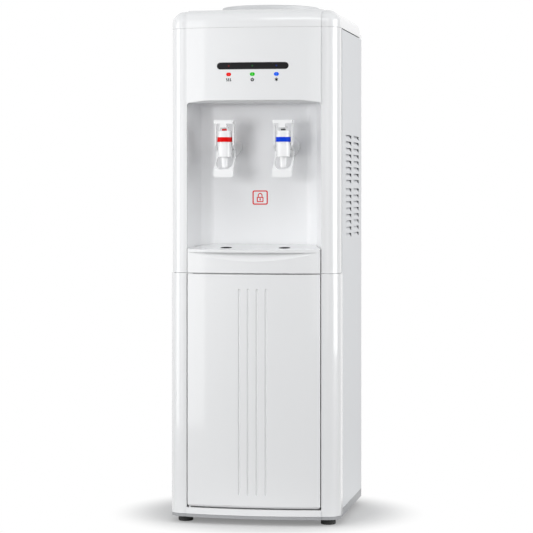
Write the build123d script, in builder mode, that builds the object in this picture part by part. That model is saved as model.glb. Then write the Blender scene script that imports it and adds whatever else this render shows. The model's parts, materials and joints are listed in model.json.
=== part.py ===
from build123d import *
import os
from math import cos, radians, sin, sqrt

os.makedirs("parts", exist_ok=True)

# Free-standing water dispenser for a bottle on top, with a hot and a cold tap over a drip tray and a storage
# cabinet below. Millimetres, +Z up, the front faces -Y, and the origin is on the floor under the middle.

# Overall
body_width = 310.0
body_depth = 330.0
foot_height = 11.2
base_flange_height = 5.5
base_strip_height = 8.7
rail_height = 11.7
frame_height = 436.1
fascia_height = 442.5
cover_height = 33.3
panel_height = 869.0

# Clearances
seat_gap = 0.3
seam_gap = 0.6
shut_gap = 1.0
door_gap = 1.7
fit_gap = 0.05
overrun = 20.0

# Front of the body: two columns with rounded corners and a bowed middle
column_width = 32.0
bow_sagitta = 11.0
bow_step = 3.0
corner_radius = 26.0
frame_step = 1.5
frame_proud = 1.0
fascia_inset = 0.5
panel_front_depth = 57.0

# Moulded and pressed walls
moulding_wall = 2.6
fascia_wall = 3.0
return_depth = 5.0
sheet = 1.0

# Side panels and their louvres
panel_front_flange = 8.0
panel_back_flange = 14.0
louvre_width = 76.0
louvre_height = 7.8
louvre_pitch = 11.83
louvre_rows = 8
louvre_group_pitch = 98.6
louvre_top = 705.0
louvre_front_middle = -19.0
louvre_column_pitch = 107.0
louvre_slot_corner = 2.4
louvre_blade_angle = 32.0
louvre_blade_bite = 0.4

# Base and feet
base_wall = 2.5
base_floor = 3.0
base_lip_inset = 3.6
base_lip_rise = 3.0
base_rib_half_spacing = 80.0
base_rib = 3.0
foot_radius = 13.5
foot_edge = 2.0
foot_stud_radius = 4.0
foot_stud_height = 12.0
foot_hole_gap = 0.2
foot_side_inset = 23.5
foot_front_inset = 50.0
foot_back_inset = 40.0

# Top cover
cover_step = 1.5
cover_overhang = 0.2
cover_edge_radius = 24.0
cover_skirt_height = 6.0
cover_skirt_front = 100.0
cover_skirt_radius = 2.0
cover_hole_radius = 80.0

# Bottle collar
collar_y = 34.0
collar_radius = 91.5
collar_height = 15.5
collar_land = 6.0
collar_wall = 3.0
neck_radius = 30.0
neck_length = 19.0
neck_drop = 27.0
collar_edge = 1.4

# Alcove
alcove_top = 761.2
alcove_ceiling_drop = 0.6
alcove_arch_rise = 4.2
alcove_arch_run = 5.5
alcove_depth = 67.0
alcove_knee_depth = 50.0
alcove_knee_inset = 15.0
alcove_back_inset = 33.0
alcove_corner_radius = 6.0
alcove_plan_radius = 14.0

# Display
window_width = 131.0
window_height = 12.4
window_middle = 827.2
window_thickness = 1.5
window_pocket = 1.9
window_recess = 0.2
lens_width = 9.0
lens_height = 6.5
lens_middle = 812.0
lens_pitch = 43.6
lens_proud = 0.3
board_width = 130.0
board_height = 34.0
board_thickness = 1.6
board_depth = 8.0
board_post_radius = 3.0
board_post_spacing = 112.0

# Door
door_wall = 3.0
door_depth_at_edge = 10.5
door_bottom_radius = 5.0
door_edge_radius = 1.5
door_top_gap = 0.4
groove_count = 4
groove_pitch = 16.3
groove_radius = 2.2
groove_depth = 1.7
groove_bottom = 53.0
groove_top = 426.0
liner_thickness = 2.4
liner_inset = 4.0
hinge_radius = 1.7
hinge_inset = 4.2
hinge_from_edge = 3.6
hinge_length = 15.0
hinge_block_width = 10.0
hinge_block_height = 14.0
strike_width = 24.0
strike_height = 12.0
strike_thickness = 1.2
catch_offset = 80.0
catch_width = 30.0
catch_height = 11.2
catch_depth = 24.0
catch_magnet_inset = 4.0

# Door frame head and cabinet liner
head_thickness = 1.4
head_depth = 30.0
head_lug_width = 13.0
head_lug_front = 0.9
cabinet_inset = 3.0
cabinet_wall = 1.5
cabinet_front_gap = 2.3
cabinet_flange = 8.0
cabinet_top = 450.0
cabinet_back = 128.0
cabinet_corner = 12.0

# Drip tray
tray_lip_height = 41.5
tray_lip = 4.7
tray_rise = 9.3
tray_cover_thickness = 3.0
tray_wall = 2.4
tray_side_gap = 1.8
tray_front_wall = 16.0
tray_scoop_bottom = 21.0
tray_scoop_slope = 57.0
tray_core_half_width = 100.0
tray_core_height = 18.0
tray_core_wall = 2.8
drain_hole_radius = 11.0
drain_hole_from_front = 31.0

# Taps
tap_half_spacing = 53.7
tap_reach = 64.0
tap_height = 683.0
barrel_radius = 12.5
barrel_bottom = 663.3
barrel_top = 699.0
barrel_bore = 8.5
barrel_seat = 4.0
bonnet_radius = 12.8
bonnet_height = 11.6
bonnet_groove = 0.6
band_radius = 13.5
band_bottom = 690.4
nozzle_top_radius = 7.0
nozzle_tip_radius = 5.4
nozzle_length = 19.5
nozzle_bore = 2.8
stub_radius = 7.0
tap_flange_radius = 19.8
tap_flange_thickness = 3.0
spigot_radius = 6.0
spigot_length = 18.0
tap_nut_radius = 11.0
tap_nut_thickness = 6.0
pivot_front = 10.0
pivot_height = 717.2
pivot_pin_radius = 1.0
pivot_post = 1.4
pivot_knuckle_radius = 1.9
tap_edge = 0.8

# Tap levers
lever_half_width = 17.7
lever_cheek = 2.8
lever_top = 729.7
lever_bar_height = 6.6
lever_front = 15.0
lever_bar_depth = 4.0
lever_roof = 3.0
lever_arm_half_depth = 4.0
lever_tab_half_width = 6.0
lever_fork_bottom = 714.9
lever_fork = 2.4
lever_fork_back = 6.0
lever_fork_slot_gap = 0.35
lever_knee = 684.0
lever_knee_drop = 10.0
lever_heel = 12.0
lever_heel_low = 662.0
lever_heel_depth = 5.5
lever_lip_height = 14.0
lever_lip = 2.0
lever_lip_root = 5.0
lever_bottom = 626.7
lever_plate = 2.0
lever_plate_height = 6.0
lever_corner = 2.5
lever_lip_corner = 4.0
lever_window_corner = 12.0
lever_tub_corner = 7.0

# Tap stems, springs and the pieces under the levers
stem_radius = 2.3
stem_gap = 0.1
stem_head_radius = 4.65
stem_head_gap = 0.4
stem_head_height = 4.2
stem_bottom = 667.6
plunger_radius = 8.0
plunger_height = 8.0
spring_radius = 5.6
spring_wire = 0.45
spring_pitch = 3.6
spring_room = 5.0
spring_end_gap = 0.05
latch_height = 3.0
latch_half_width = 4.65
latch_front = 6.5
latch_travel = 2.0
latch_corner = 2.0

# Machine deck, tank shelf and back panel
deck_from_wall = 4.0
deck_gap = 2.3
deck_thickness = 1.2
deck_flange = 14.0
back_panel_inset = 26.0
shelf_height = 706.5
shelf_hole_radius = 12.0
shelf_from_wall = 5.0

# Cold tank
tank_y = 21.0
cold_tank_radius = 62.0
cold_tank_height = 154.0
cold_tank_wall = 1.0
cold_tank_lip = 8.0
foam_half_width = 82.0
foam_half_depth = 83.0
foam_floor = 14.0
coil_tube_radius = 3.0
coil_gap = 0.4
coil_pitch = 9.0
coil_turns = 6.0
coil_start = 12.0
foam_chase = 18.0
cold_outlet_y = 7.0
link_outlet_x = -5.0
link_outlet_y = -30.0
lid_thickness = 3.0
lid_radius = 72.0
lid_collar_height = 8.0
lid_collar_wall = 3.0

# Hot tank
hot_tank_x = -78.0
hot_tank_y = 30.0
hot_tank_radius = 52.0
hot_tank_height = 134.0
hot_tank_wall = 1.0
hot_tank_dome = 10.0
hot_tank_bottom = 508.0
jacket_radius = 62.0
jacket_leg_radius = 5.0
thermostat_radius = 8.0
thermostat_height = 6.0
thermostat_half_spacing = 26.0
jacket_floor = 9.7
jacket_top_drop = 6.0
jacket_hole_radius = 32.0
jacket_leg_circle = 55.0
jacket_leg_angle = 60.0
hot_port_offset = 15.0
link_drop = 26.0
drain_pipe_radius = 4.0
drain_pipe_bore = 2.6
drain_pipe_height = 478.0
drain_cap_radius = 9.0
drain_cap_length = 12.0
drain_cap_wall = 2.0

# Compressor
compressor_x = 68.0
compressor_y = 45.0
compressor_radius = 58.0
compressor_height = 144.0
compressor_dome = 26.0
compressor_seam = 2.0
compressor_plate_width = 150.0
compressor_plate_depth = 96.0
compressor_plate = 3.0
grommet_radius = 11.0
grommet_height = 16.0
grommet_spacing_x = 126.0
grommet_spacing_y = 70.0
relay_width = 44.0
relay_height = 40.0
relay_depth = 16.0
relay_bite = 5.0
relay_bottom = 500.0

# Condenser and refrigerant lines
condenser_half_width = 115.0
condenser_runs = 9
condenser_pitch = 38.0
condenser_bottom = 506.0
condenser_bend = 18.0
condenser_y = 152.5
condenser_wire_gap = 0.08
condenser_tube_radius = 2.5
condenser_wire_radius = 0.75
condenser_wires = 18
condenser_wire_pitch = 12.0
condenser_wire_overhang = 8.0
clip_width = 6.0
clip_height = 8.0
clip_from_end = 6.0
line_radius = 3.0
line_bend = 9.0
suction_x = 90.0
suction_y = 112.0
suction_height = 560.0
line_exit_x = 14.0
discharge_y = 122.0
discharge_height = 575.0
dryer_y = 118.0
capillary_radius = 1.5
dryer_radius = 9.0
dryer_length = 70.0
dryer_rise = 14.5
dryer_x = -130.0

# Hoses
hose_radius = 5.0
hose_bore = 3.5
hose_bend = 14.0
hose_end_gap = 0.3

# Back fittings
plate_width = 84.0
plate_height = 44.0
plate_thickness = 2.0
plate_middle = 842.0
rocker_width = 11.0
rocker_height = 17.0
rocker_thickness = 6.0
rocker_tilt = 7.0
rocker_gap = 0.8
rocker_spacing = 40.0
rocker_body_depth = 14.0
rocker_wall = 2.0
rocker_pin_radius = 1.5
gland_from_side = 43.0
gland_height = 486.0
gland_radius = 8.0
gland_flange_radius = 12.0
gland_length = 12.0
gland_bore = 4.0
screw_radius = 1.75
screw_head_radius = 4.0
screw_head_height = 2.0
screw_length = 8.0
screw_inset = 9.0
screw_rows = 5
screw_row_pitch = 205.0
screw_first_row = 40.0

# Heights and faces that follow from the sizes above
side_x = body_width / 2
front_y = -body_depth / 2
back_y = body_depth / 2
base_bottom = foot_height + seat_gap
frame_bottom = base_bottom + base_flange_height + seat_gap
base_top = frame_bottom - seat_gap + base_strip_height
panel_bottom = base_top + seat_gap
panel_top = panel_bottom + panel_height
frame_top = frame_bottom + frame_height
fascia_bottom = frame_top + seam_gap
fascia_top = fascia_bottom + fascia_height
cover_bottom = fascia_top + seat_gap
cover_top = cover_bottom + cover_height
bow_half_width = side_x - column_width
bow_edge_y = front_y + bow_sagitta
column_y = bow_edge_y + bow_step
frame_y = column_y - frame_step
panel_front_y = front_y + panel_front_depth
fascia_side = side_x - fascia_inset
frame_side = side_x + frame_proud
opening_half = bow_half_width + seat_gap
return_y = column_y + return_depth
panel_inner_x = side_x - sheet
back_face = back_y - back_panel_inset
deck_bottom = cabinet_top + deck_gap
deck_top = deck_bottom + deck_thickness
tray_lip_top = fascia_bottom + tray_lip_height
wall_y = column_y + alcove_depth
alcove_knee_half_width = bow_half_width - alcove_knee_inset
alcove_back_half_width = bow_half_width - alcove_back_inset
cabinet_half_width = bow_half_width - cabinet_inset
foot_half_spacing = side_x - foot_side_inset
foot_front = front_y + foot_front_inset
foot_back = back_y - foot_back_inset
deck_front = wall_y + deck_from_wall
shelf_front = wall_y + shelf_from_wall
foam_front = tank_y - foam_half_depth
foam_back = tank_y + foam_half_depth
link_height = hot_tank_bottom - link_drop
gland_x = side_x - gland_from_side
liner_front = return_y + seat_gap
tap_y = wall_y - tap_reach


def shell_plan(side, column, corner, back, bow=0.0, inset=0.0):
    """Plan of the body: flat columns with rounded outer corners, and the bowed middle if bow is 1."""
    side_edge = side - inset
    column_edge = column + inset
    half = bow_half_width - inset
    with BuildSketch() as plan:
        with BuildLine():
            if bow:
                Polyline((-half, bow_edge_y + inset), (-half, column_edge), (-side_edge, column_edge),
                         (-side_edge, back), (side_edge, back), (side_edge, column_edge),
                         (half, column_edge), (half, bow_edge_y + inset))
                ThreePointArc((-half, bow_edge_y + inset), (0, front_y + inset), (half, bow_edge_y + inset))
            else:
                Polyline((-side_edge, column_edge), (-side_edge, back), (side_edge, back),
                         (side_edge, column_edge), close=True)
        make_face()
        middle_x = (half + side_edge) / 2
        outer = [v for v in plan.vertices() if abs(v.X) > middle_x and v.Y < column_edge + seat_gap]
        fillet(outer, corner - inset)
    return plan.sketch


def bow_plan(half, back, inset=0.0):
    """Plan of a bowed front piece of the given half width, from its bow back to a flat face."""
    edge = bow_y(half) + inset
    with BuildSketch() as plan:
        with BuildLine():
            Polyline((-half, edge), (-half, back), (half, back), (half, edge))
            ThreePointArc((-half, edge), (0, front_y + inset), (half, edge))
        make_face()
    return plan.sketch


def bow_y(x):
    """Front face of the bow at a distance x from the middle."""
    bow_radius = (bow_half_width ** 2 + bow_sagitta ** 2) / (2 * bow_sagitta)
    return front_y + bow_radius - sqrt(bow_radius ** 2 - x ** 2)


def alcove_plan(grow, front):
    """Plan of the alcove, wide at the rim and narrower at the wall, grown outwards by a wall thickness."""
    rim = opening_half + grow
    knee = alcove_knee_half_width + grow
    end = alcove_back_half_width + grow
    slant = (opening_half - alcove_knee_half_width) / (alcove_knee_depth - return_depth)
    rim_front = rim + slant * (return_y - front)
    with BuildSketch() as plan:
        with BuildLine():
            Polyline((-rim_front, front), (rim_front, front), (knee, column_y + alcove_knee_depth),
                     (end, wall_y + grow), (-end, wall_y + grow), (-knee, column_y + alcove_knee_depth),
                     close=True)
        make_face()
        fillet([v for v in plan.vertices() if v.Y > front + overrun], alcove_plan_radius)
    return plan.sketch


def pipe(points, bend, outer, bore):
    """Tube along straight runs joined by arcs, solid where the bore is zero."""
    with BuildPart() as tube:
        with BuildLine() as route:
            FilletPolyline(*points, radius=bend)
        with BuildSketch(Plane(origin=route.line @ 0, z_dir=route.line % 0)):
            Circle(outer)
            if bore:
                Circle(bore, mode=Mode.SUBTRACT)
        sweep()
    return tube.part


# Feet
with BuildPart() as feet:
    foot_middle = (foot_front + foot_back) / 2
    foot_places = GridLocations(2 * foot_half_spacing, foot_back - foot_front, 2, 2)
    with BuildSketch():
        with Locations((0, foot_middle)):
            with foot_places:
                Circle(foot_radius)
    extrude(amount=foot_height)
    fillet(feet.edges().filter_by(GeomType.CIRCLE), foot_edge)
    with BuildSketch(Plane.XY.offset(foot_height)):
        with Locations((0, foot_middle)):
            with foot_places:
                Circle(foot_stud_radius)
    extrude(amount=foot_stud_height)
feet.part.label = "feet"
export_step(feet.part, "parts/feet.step")

# Base tray: a flange under the front columns, a strip under the side panels and a lip inside both
base_back = back_y - sheet
base_lip_front = panel_front_y + sheet + seat_gap
with BuildPart() as base_tray:
    with BuildSketch(Plane.XY.offset(base_bottom)):
        add(shell_plan(side_x, frame_y, corner_radius, base_back, bow=1))
    extrude(amount=base_flange_height)
    with BuildSketch(Plane.XY.offset(base_bottom)):
        with Locations((0, (panel_front_y + base_back) / 2)):
            Rectangle(2 * side_x, base_back - panel_front_y)
    extrude(amount=base_top - base_bottom)
    with BuildSketch(Plane.XY.offset(base_bottom)):
        with Locations((0, (base_lip_front + back_face - seat_gap) / 2)):
            Rectangle(2 * (side_x - base_lip_inset), back_face - seat_gap - base_lip_front)
    extrude(amount=base_top - base_bottom + base_lip_rise)
    with BuildSketch(Plane.XY.offset(base_bottom + base_floor)):
        with Locations((0, (base_lip_front + back_face - seat_gap) / 2)):
            Rectangle(2 * (side_x - base_lip_inset - base_wall),
                      back_face - seat_gap - base_lip_front - 2 * base_wall)
    extrude(amount=base_top + base_lip_rise, mode=Mode.SUBTRACT)
    with BuildSketch(Plane.XY.offset(base_bottom + base_floor)):
        with GridLocations(2 * base_rib_half_spacing, 0, 2, 1):
            Rectangle(base_rib, 2 * -base_lip_front - 2 * base_wall)
    extrude(amount=base_top - base_bottom - base_floor + base_lip_rise)
    with BuildSketch(Plane.XY.offset(base_bottom)):
        with Locations((0, foot_middle)):
            with foot_places:
                Circle(foot_stud_radius + foot_hole_gap)
    extrude(amount=foot_stud_height, mode=Mode.SUBTRACT)
base_tray.part.label = "base_tray"
export_step(base_tray.part, "parts/base_tray.step")
cabinet_bottom = base_top + base_lip_rise + seat_gap


# Side panels: folded sheet with two columns of louvres, each slot with a blade slanting inwards
def side_panel(hand):
    """Folded side panel for the side that hand names: 1 right, -1 left."""
    outer = hand * side_x
    inner = hand * panel_inner_x
    with BuildPart() as panel:
        with BuildSketch(Plane.XY.offset(panel_bottom)):
            with BuildLine():
                Polyline((outer, panel_front_y), (outer, back_y),
                         (outer - hand * panel_back_flange, back_y),
                         (outer - hand * panel_back_flange, back_y - sheet), (inner, back_y - sheet),
                         (inner, panel_front_y + sheet),
                         (outer - hand * panel_front_flange, panel_front_y + sheet),
                         (outer - hand * panel_front_flange, panel_front_y), close=True)
            make_face()
        extrude(amount=panel_height)
        slots = [(louvre_front_middle + column * louvre_column_pitch,
                  louvre_top - louvre_height / 2 - group * louvre_group_pitch - row * louvre_pitch)
                 for column in range(2) for group in range(2) for row in range(louvre_rows)]
        with BuildSketch(Plane.YZ.offset(inner - hand * sheet)):
            with Locations(*slots):
                RectangleRounded(louvre_width, louvre_height, louvre_slot_corner)
        extrude(amount=hand * 3 * sheet, mode=Mode.SUBTRACT)
        blade_in = louvre_height * sin(radians(louvre_blade_angle))
        for column in range(2):
            blade_y = louvre_front_middle + column * louvre_column_pitch
            with BuildSketch(Plane.XZ.offset(-blade_y)):
                for z in [z for y, z in slots if y == blade_y]:
                    low = z - louvre_height / 2
                    with BuildLine():
                        Polyline((outer, low - louvre_blade_bite), (outer, low),
                                 (outer - hand * blade_in, low + louvre_height),
                                 (inner - hand * blade_in, low + louvre_height), (inner, low),
                                 (inner, low - louvre_blade_bite), close=True)
                    make_face()
            extrude(amount=louvre_width / 2 - louvre_slot_corner, both=True)
    return panel.part


for hand, name in ((-1, "left_side_panel"), (1, "right_side_panel")):
    panel_part = side_panel(hand)
    panel_part.label = name
    export_step(panel_part, f"parts/{name}.step")

# Back panel, with the holes that the lines, the drain pipe and the cord pass through
gas_pipe_x = condenser_half_width + line_bend + shut_gap
gas_pipe_z = condenser_bottom + (condenser_runs - 1) * condenser_pitch
dryer_pipe_z = deck_top + 2 * dryer_radius
with BuildPart() as back_panel:
    with BuildSketch(Plane.XZ.offset(-back_face)):
        with Locations((0, (panel_bottom + panel_top) / 2)):
            Rectangle(2 * (panel_inner_x - seat_gap), panel_height)
    extrude(amount=-sheet)
    with BuildSketch(Plane.XZ.offset(-back_face)):
        with Locations((gas_pipe_x, gas_pipe_z), (dryer_x, dryer_pipe_z)):
            Circle(line_radius + seat_gap)
        with Locations((hot_tank_x, drain_pipe_height)):
            Circle(drain_pipe_radius + seat_gap)
        with Locations((gland_x, gland_height)):
            Circle(gland_radius + fit_gap)
        with Locations((0, plate_middle)):
            Rectangle(rocker_spacing + rocker_width + 4 * rocker_wall, rocker_height + 4 * rocker_wall)
        screw_half_spacing = panel_inner_x - screw_inset
        screw_middle = panel_bottom + screw_first_row + (screw_rows - 1) * screw_row_pitch / 2
        with Locations((0, screw_middle)):
            with GridLocations(2 * screw_half_spacing, screw_row_pitch, 2, screw_rows):
                Circle(screw_radius + fit_gap)
    extrude(amount=-sheet, mode=Mode.SUBTRACT)
back_panel.part.label = "back_panel"
export_step(back_panel.part, "parts/back_panel.step")

# Screws of the back panel
with BuildPart() as panel_screws:
    with BuildSketch(Plane.XZ.offset(-back_face - sheet)):
        with Locations((0, screw_middle)):
            with GridLocations(2 * screw_half_spacing, screw_row_pitch, 2, screw_rows):
                Circle(screw_head_radius)
    extrude(amount=-screw_head_height)
    with BuildSketch(Plane.XZ.offset(-back_face - sheet)):
        with Locations((0, screw_middle)):
            with GridLocations(2 * screw_half_spacing, screw_row_pitch, 2, screw_rows):
                Circle(screw_radius)
    extrude(amount=screw_length)
panel_screws.part.label = "panel_screws"
export_step(panel_screws.part, "parts/panel_screws.step")

# Lower frame: two columns, a bowed bottom rail and a thin head plate with the upper hinge lug
rail_top = frame_bottom + rail_height
head_bottom = frame_top - head_thickness
frame_wall = moulding_wall
hinge_x = -(bow_half_width - door_gap + seat_gap) + hinge_inset
hinge_y = bow_y(hinge_x) + hinge_from_edge
door_half = bow_half_width - door_gap + seat_gap
door_back = bow_edge_y + door_depth_at_edge
liner_plate_y = door_back + seat_gap
cabinet_front = liner_plate_y + liner_thickness + cabinet_front_gap
frame_return_y = cabinet_front - seat_gap
with BuildPart() as lower_frame:
    with BuildSketch(Plane.XY.offset(frame_bottom)):
        add(shell_plan(frame_side, frame_y, corner_radius + frame_step, panel_front_y - seam_gap, bow=1))
    extrude(amount=frame_height)
    with BuildSketch(Plane.XY.offset(frame_bottom)):
        add(shell_plan(frame_side, frame_y, corner_radius + frame_step, panel_front_y, inset=frame_wall))
    extrude(amount=frame_height, mode=Mode.SUBTRACT)
    with BuildSketch(Plane.XY.offset(frame_bottom)):
        add(bow_plan(bow_half_width - frame_wall, frame_y + frame_wall, inset=frame_wall))
    extrude(amount=frame_height, mode=Mode.SUBTRACT)
    with BuildSketch(Plane.XY.offset(rail_top)):
        with Locations((0, frame_y)):
            Rectangle(2 * opening_half, 2 * overrun + 2 * bow_sagitta)
    extrude(amount=frame_height, mode=Mode.SUBTRACT)
    with BuildSketch(Plane.XY.offset(rail_top - frame_wall)):
        add(bow_plan(bow_half_width - frame_wall / 2, frame_y + frame_wall / 2, inset=frame_wall / 2))
        with Locations((0, (frame_y + frame_wall / 2 + frame_return_y) / 2)):
            Rectangle(2 * opening_half, frame_return_y - frame_y - frame_wall / 2)
    extrude(amount=frame_wall)
    with BuildSketch(Plane.XY.offset(frame_bottom)):
        for side in (-1, 1):
            with Locations((side * (opening_half + frame_wall / 2), (frame_y + frame_return_y) / 2)):
                Rectangle(frame_wall, frame_return_y - frame_y)
    extrude(amount=frame_height)
    with BuildSketch(Plane.XY.offset(head_bottom)):
        with Locations((0, frame_y + frame_wall + head_depth / 2)):
            Rectangle(2 * opening_half + frame_wall, head_depth)
        lug_front = bow_y(hinge_x) + head_lug_front
        with Locations((-opening_half + head_lug_width / 2, (lug_front + frame_y + 2 * frame_wall) / 2)):
            Rectangle(head_lug_width, frame_y + 2 * frame_wall - lug_front)
    extrude(amount=head_thickness)
    with BuildSketch(Plane.XY.offset(frame_bottom)):
        with Locations((hinge_x, hinge_y)):
            Circle(hinge_radius + fit_gap)
    extrude(amount=frame_height + frame_wall, mode=Mode.SUBTRACT)
lower_frame.part.label = "lower_frame"
export_step(lower_frame.part, "parts/lower_frame.step")

# Door panel: a bowed shell with four upright grooves and solid blocks where the hinge pins sit
door_bottom = rail_top + door_gap
door_top = head_bottom - door_top_gap
door_height = door_top - door_bottom
with BuildPart() as door_panel:
    with BuildSketch(Plane.XY.offset(door_bottom)):
        add(bow_plan(door_half, door_back))
    extrude(amount=door_height)
    upright = door_panel.edges().filter_by(Axis.Z)
    fillet(upright.group_by(Axis.Y)[0], door_edge_radius)
    corner_edges = door_panel.edges().filter_by(Axis.Y)
    fillet(corner_edges.group_by(Axis.Z)[0], door_bottom_radius)
    with BuildSketch(Plane.XY.offset(door_bottom + door_wall)):
        add(bow_plan(door_half - door_wall - hinge_block_width, door_back + overrun, inset=door_wall))
    extrude(amount=door_height - 2 * door_wall, mode=Mode.SUBTRACT)
    with BuildSketch(Plane.XY.offset(door_bottom + hinge_block_height)):
        add(bow_plan(door_half - door_wall, door_back + overrun, inset=door_wall))
    extrude(amount=door_height - 2 * hinge_block_height, mode=Mode.SUBTRACT)
    for step in range(groove_count):
        groove_x = (step - (groove_count - 1) / 2) * groove_pitch
        groove_y = bow_y(groove_x) + groove_depth - groove_radius
        with BuildSketch(Plane.XY.offset(groove_bottom + groove_radius)):
            with Locations((groove_x, groove_y)):
                Circle(groove_radius)
        extrude(amount=groove_top - groove_bottom - 2 * groove_radius, mode=Mode.SUBTRACT)
        with Locations((groove_x, groove_y, groove_top - groove_radius / 2)):
            Cone(groove_radius, groove_radius - groove_depth, groove_radius, mode=Mode.SUBTRACT)
        with Locations((groove_x, groove_y, groove_bottom + groove_radius / 2)):
            Cone(groove_radius - groove_depth, groove_radius, groove_radius, mode=Mode.SUBTRACT)
    with BuildSketch(Plane.XY.offset(door_bottom)):
        with Locations((hinge_x, hinge_y)):
            Circle(hinge_radius + fit_gap)
    extrude(amount=hinge_length - 2 * fit_gap, mode=Mode.SUBTRACT)
    with BuildSketch(Plane.XY.offset(door_top)):
        with Locations((hinge_x, hinge_y)):
            Circle(hinge_radius + fit_gap)
    extrude(amount=-hinge_length + 2 * fit_gap, mode=Mode.SUBTRACT)
door_panel.part.label = "door_panel"
export_step(door_panel.part, "parts/door_panel.step")

# Hinge pins: one down into the rail, one up into the head lug
with BuildPart() as door_hinge_pins:
    with BuildSketch(Plane.XY.offset(rail_top - frame_wall)):
        with Locations((hinge_x, hinge_y)):
            Circle(hinge_radius)
    extrude(amount=door_bottom + hinge_length - 4 * fit_gap - rail_top + frame_wall)
    with BuildSketch(Plane.XY.offset(frame_top - 2 * fit_gap)):
        with Locations((hinge_x, hinge_y)):
            Circle(hinge_radius)
    extrude(amount=-(frame_top - door_top + hinge_length - 6 * fit_gap))
door_hinge_pins.part.label = "door_hinge_pins"
export_step(door_hinge_pins.part, "parts/door_hinge_pins.step")

# Door liner: the flat inner face of the door, with a shallow rim
with BuildPart() as door_liner:
    with BuildSketch(Plane.XZ.offset(-liner_plate_y)):
        with Locations((0, (door_bottom + door_top) / 2)):
            RectangleRounded(2 * (door_half - liner_inset), door_height - 2 * liner_inset,
                             door_bottom_radius)
    extrude(amount=-liner_thickness)
    with BuildSketch(Plane.XZ.offset(-liner_plate_y)):
        with Locations((0, (door_bottom + door_top) / 2)):
            RectangleRounded(2 * (door_half - 4 * liner_inset), door_height - 8 * liner_inset,
                             door_bottom_radius)
    extrude(amount=-liner_thickness / 2, mode=Mode.SUBTRACT)
    fillet(door_liner.edges().group_by(Axis.Y)[-1], liner_thickness / 3)
door_liner.part.label = "door_liner"
export_step(door_liner.part, "parts/door_liner.step")

# Strike plate on the liner and the magnetic catch that hangs from the cabinet's ceiling
strike_y = liner_plate_y + liner_thickness
catch_top = cabinet_top - cabinet_wall - seat_gap
with BuildPart() as door_strike:
    with BuildSketch(Plane.XZ.offset(-strike_y)):
        with Locations((catch_offset, catch_top - catch_height / 2)):
            RectangleRounded(strike_width, strike_height - 2 * strike_thickness, strike_thickness)
    extrude(amount=-strike_thickness)
door_strike.part.label = "door_strike"
export_step(door_strike.part, "parts/door_strike.step")

with BuildPart() as door_catch:
    with BuildSketch(Plane.XZ.offset(-(strike_y + strike_thickness + seat_gap))):
        with Locations((catch_offset, catch_top - catch_height / 2)):
            RectangleRounded(catch_width, catch_height, strike_thickness)
    extrude(amount=-catch_depth)
    with BuildSketch(Plane.XZ.offset(-(strike_y + strike_thickness + seat_gap))):
        with Locations((catch_offset, catch_top - catch_height / 2)):
            with GridLocations(0, catch_magnet_inset, 1, 2):
                Rectangle(catch_width - 2 * catch_magnet_inset, catch_magnet_inset / 4)
    extrude(amount=-catch_magnet_inset / 4, mode=Mode.SUBTRACT)
door_catch.part.label = "door_catch"
export_step(door_catch.part, "parts/door_catch.step")

# Cabinet liner: an open box behind the door, with a flange against the frame
cabinet_height = cabinet_top - cabinet_bottom
with BuildPart() as cabinet_liner:
    cabinet_middle = (cabinet_bottom + cabinet_top) / 2
    with BuildSketch(Plane.XZ.offset(-cabinet_front)):
        with Locations((0, cabinet_middle)):
            RectangleRounded(2 * cabinet_half_width, cabinet_height, cabinet_corner)
    extrude(amount=-(cabinet_back - cabinet_front))
    with BuildSketch(Plane.XZ.offset(-cabinet_front)):
        with Locations((0, cabinet_middle)):
            RectangleRounded(2 * cabinet_half_width + cabinet_flange, cabinet_height, cabinet_corner)
    extrude(amount=-cabinet_wall)
    with BuildSketch(Plane.XZ.offset(-cabinet_front)):
        with Locations((0, cabinet_middle)):
            RectangleRounded(2 * (cabinet_half_width - cabinet_wall), cabinet_height - 2 * cabinet_wall,
                             cabinet_corner - cabinet_wall)
    extrude(amount=-(cabinet_back - cabinet_front - cabinet_wall), mode=Mode.SUBTRACT)
cabinet_liner.part.label = "cabinet_liner"
export_step(cabinet_liner.part, "parts/cabinet_liner.step")

# Machine deck: a sheet over the cabinet with turned-up edges
with BuildPart() as machine_deck:
    deck_half = panel_inner_x - seat_gap
    with BuildSketch(Plane.XY.offset(deck_bottom)):
        with Locations((0, (deck_front + back_face - seat_gap) / 2)):
            Rectangle(2 * deck_half, back_face - seat_gap - deck_front)
    extrude(amount=deck_thickness)
    with BuildSketch(Plane.XY.offset(deck_bottom)):
        for side in (-1, 1):
            with Locations((side * (deck_half - sheet / 2), (deck_front + back_face - seat_gap) / 2)):
                Rectangle(sheet, back_face - seat_gap - deck_front)
    extrude(amount=deck_flange)
    with BuildSketch(Plane.XY.offset(deck_bottom)):
        with Locations((0, 0)):
            with GridLocations(2 * (cabinet_half_width - cabinet_corner), cabinet_half_width, 2, 2):
                Circle(deck_gap)
    extrude(amount=-deck_gap + seat_gap)
machine_deck.part.label = "machine_deck"
export_step(machine_deck.part, "parts/machine_deck.step")

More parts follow.
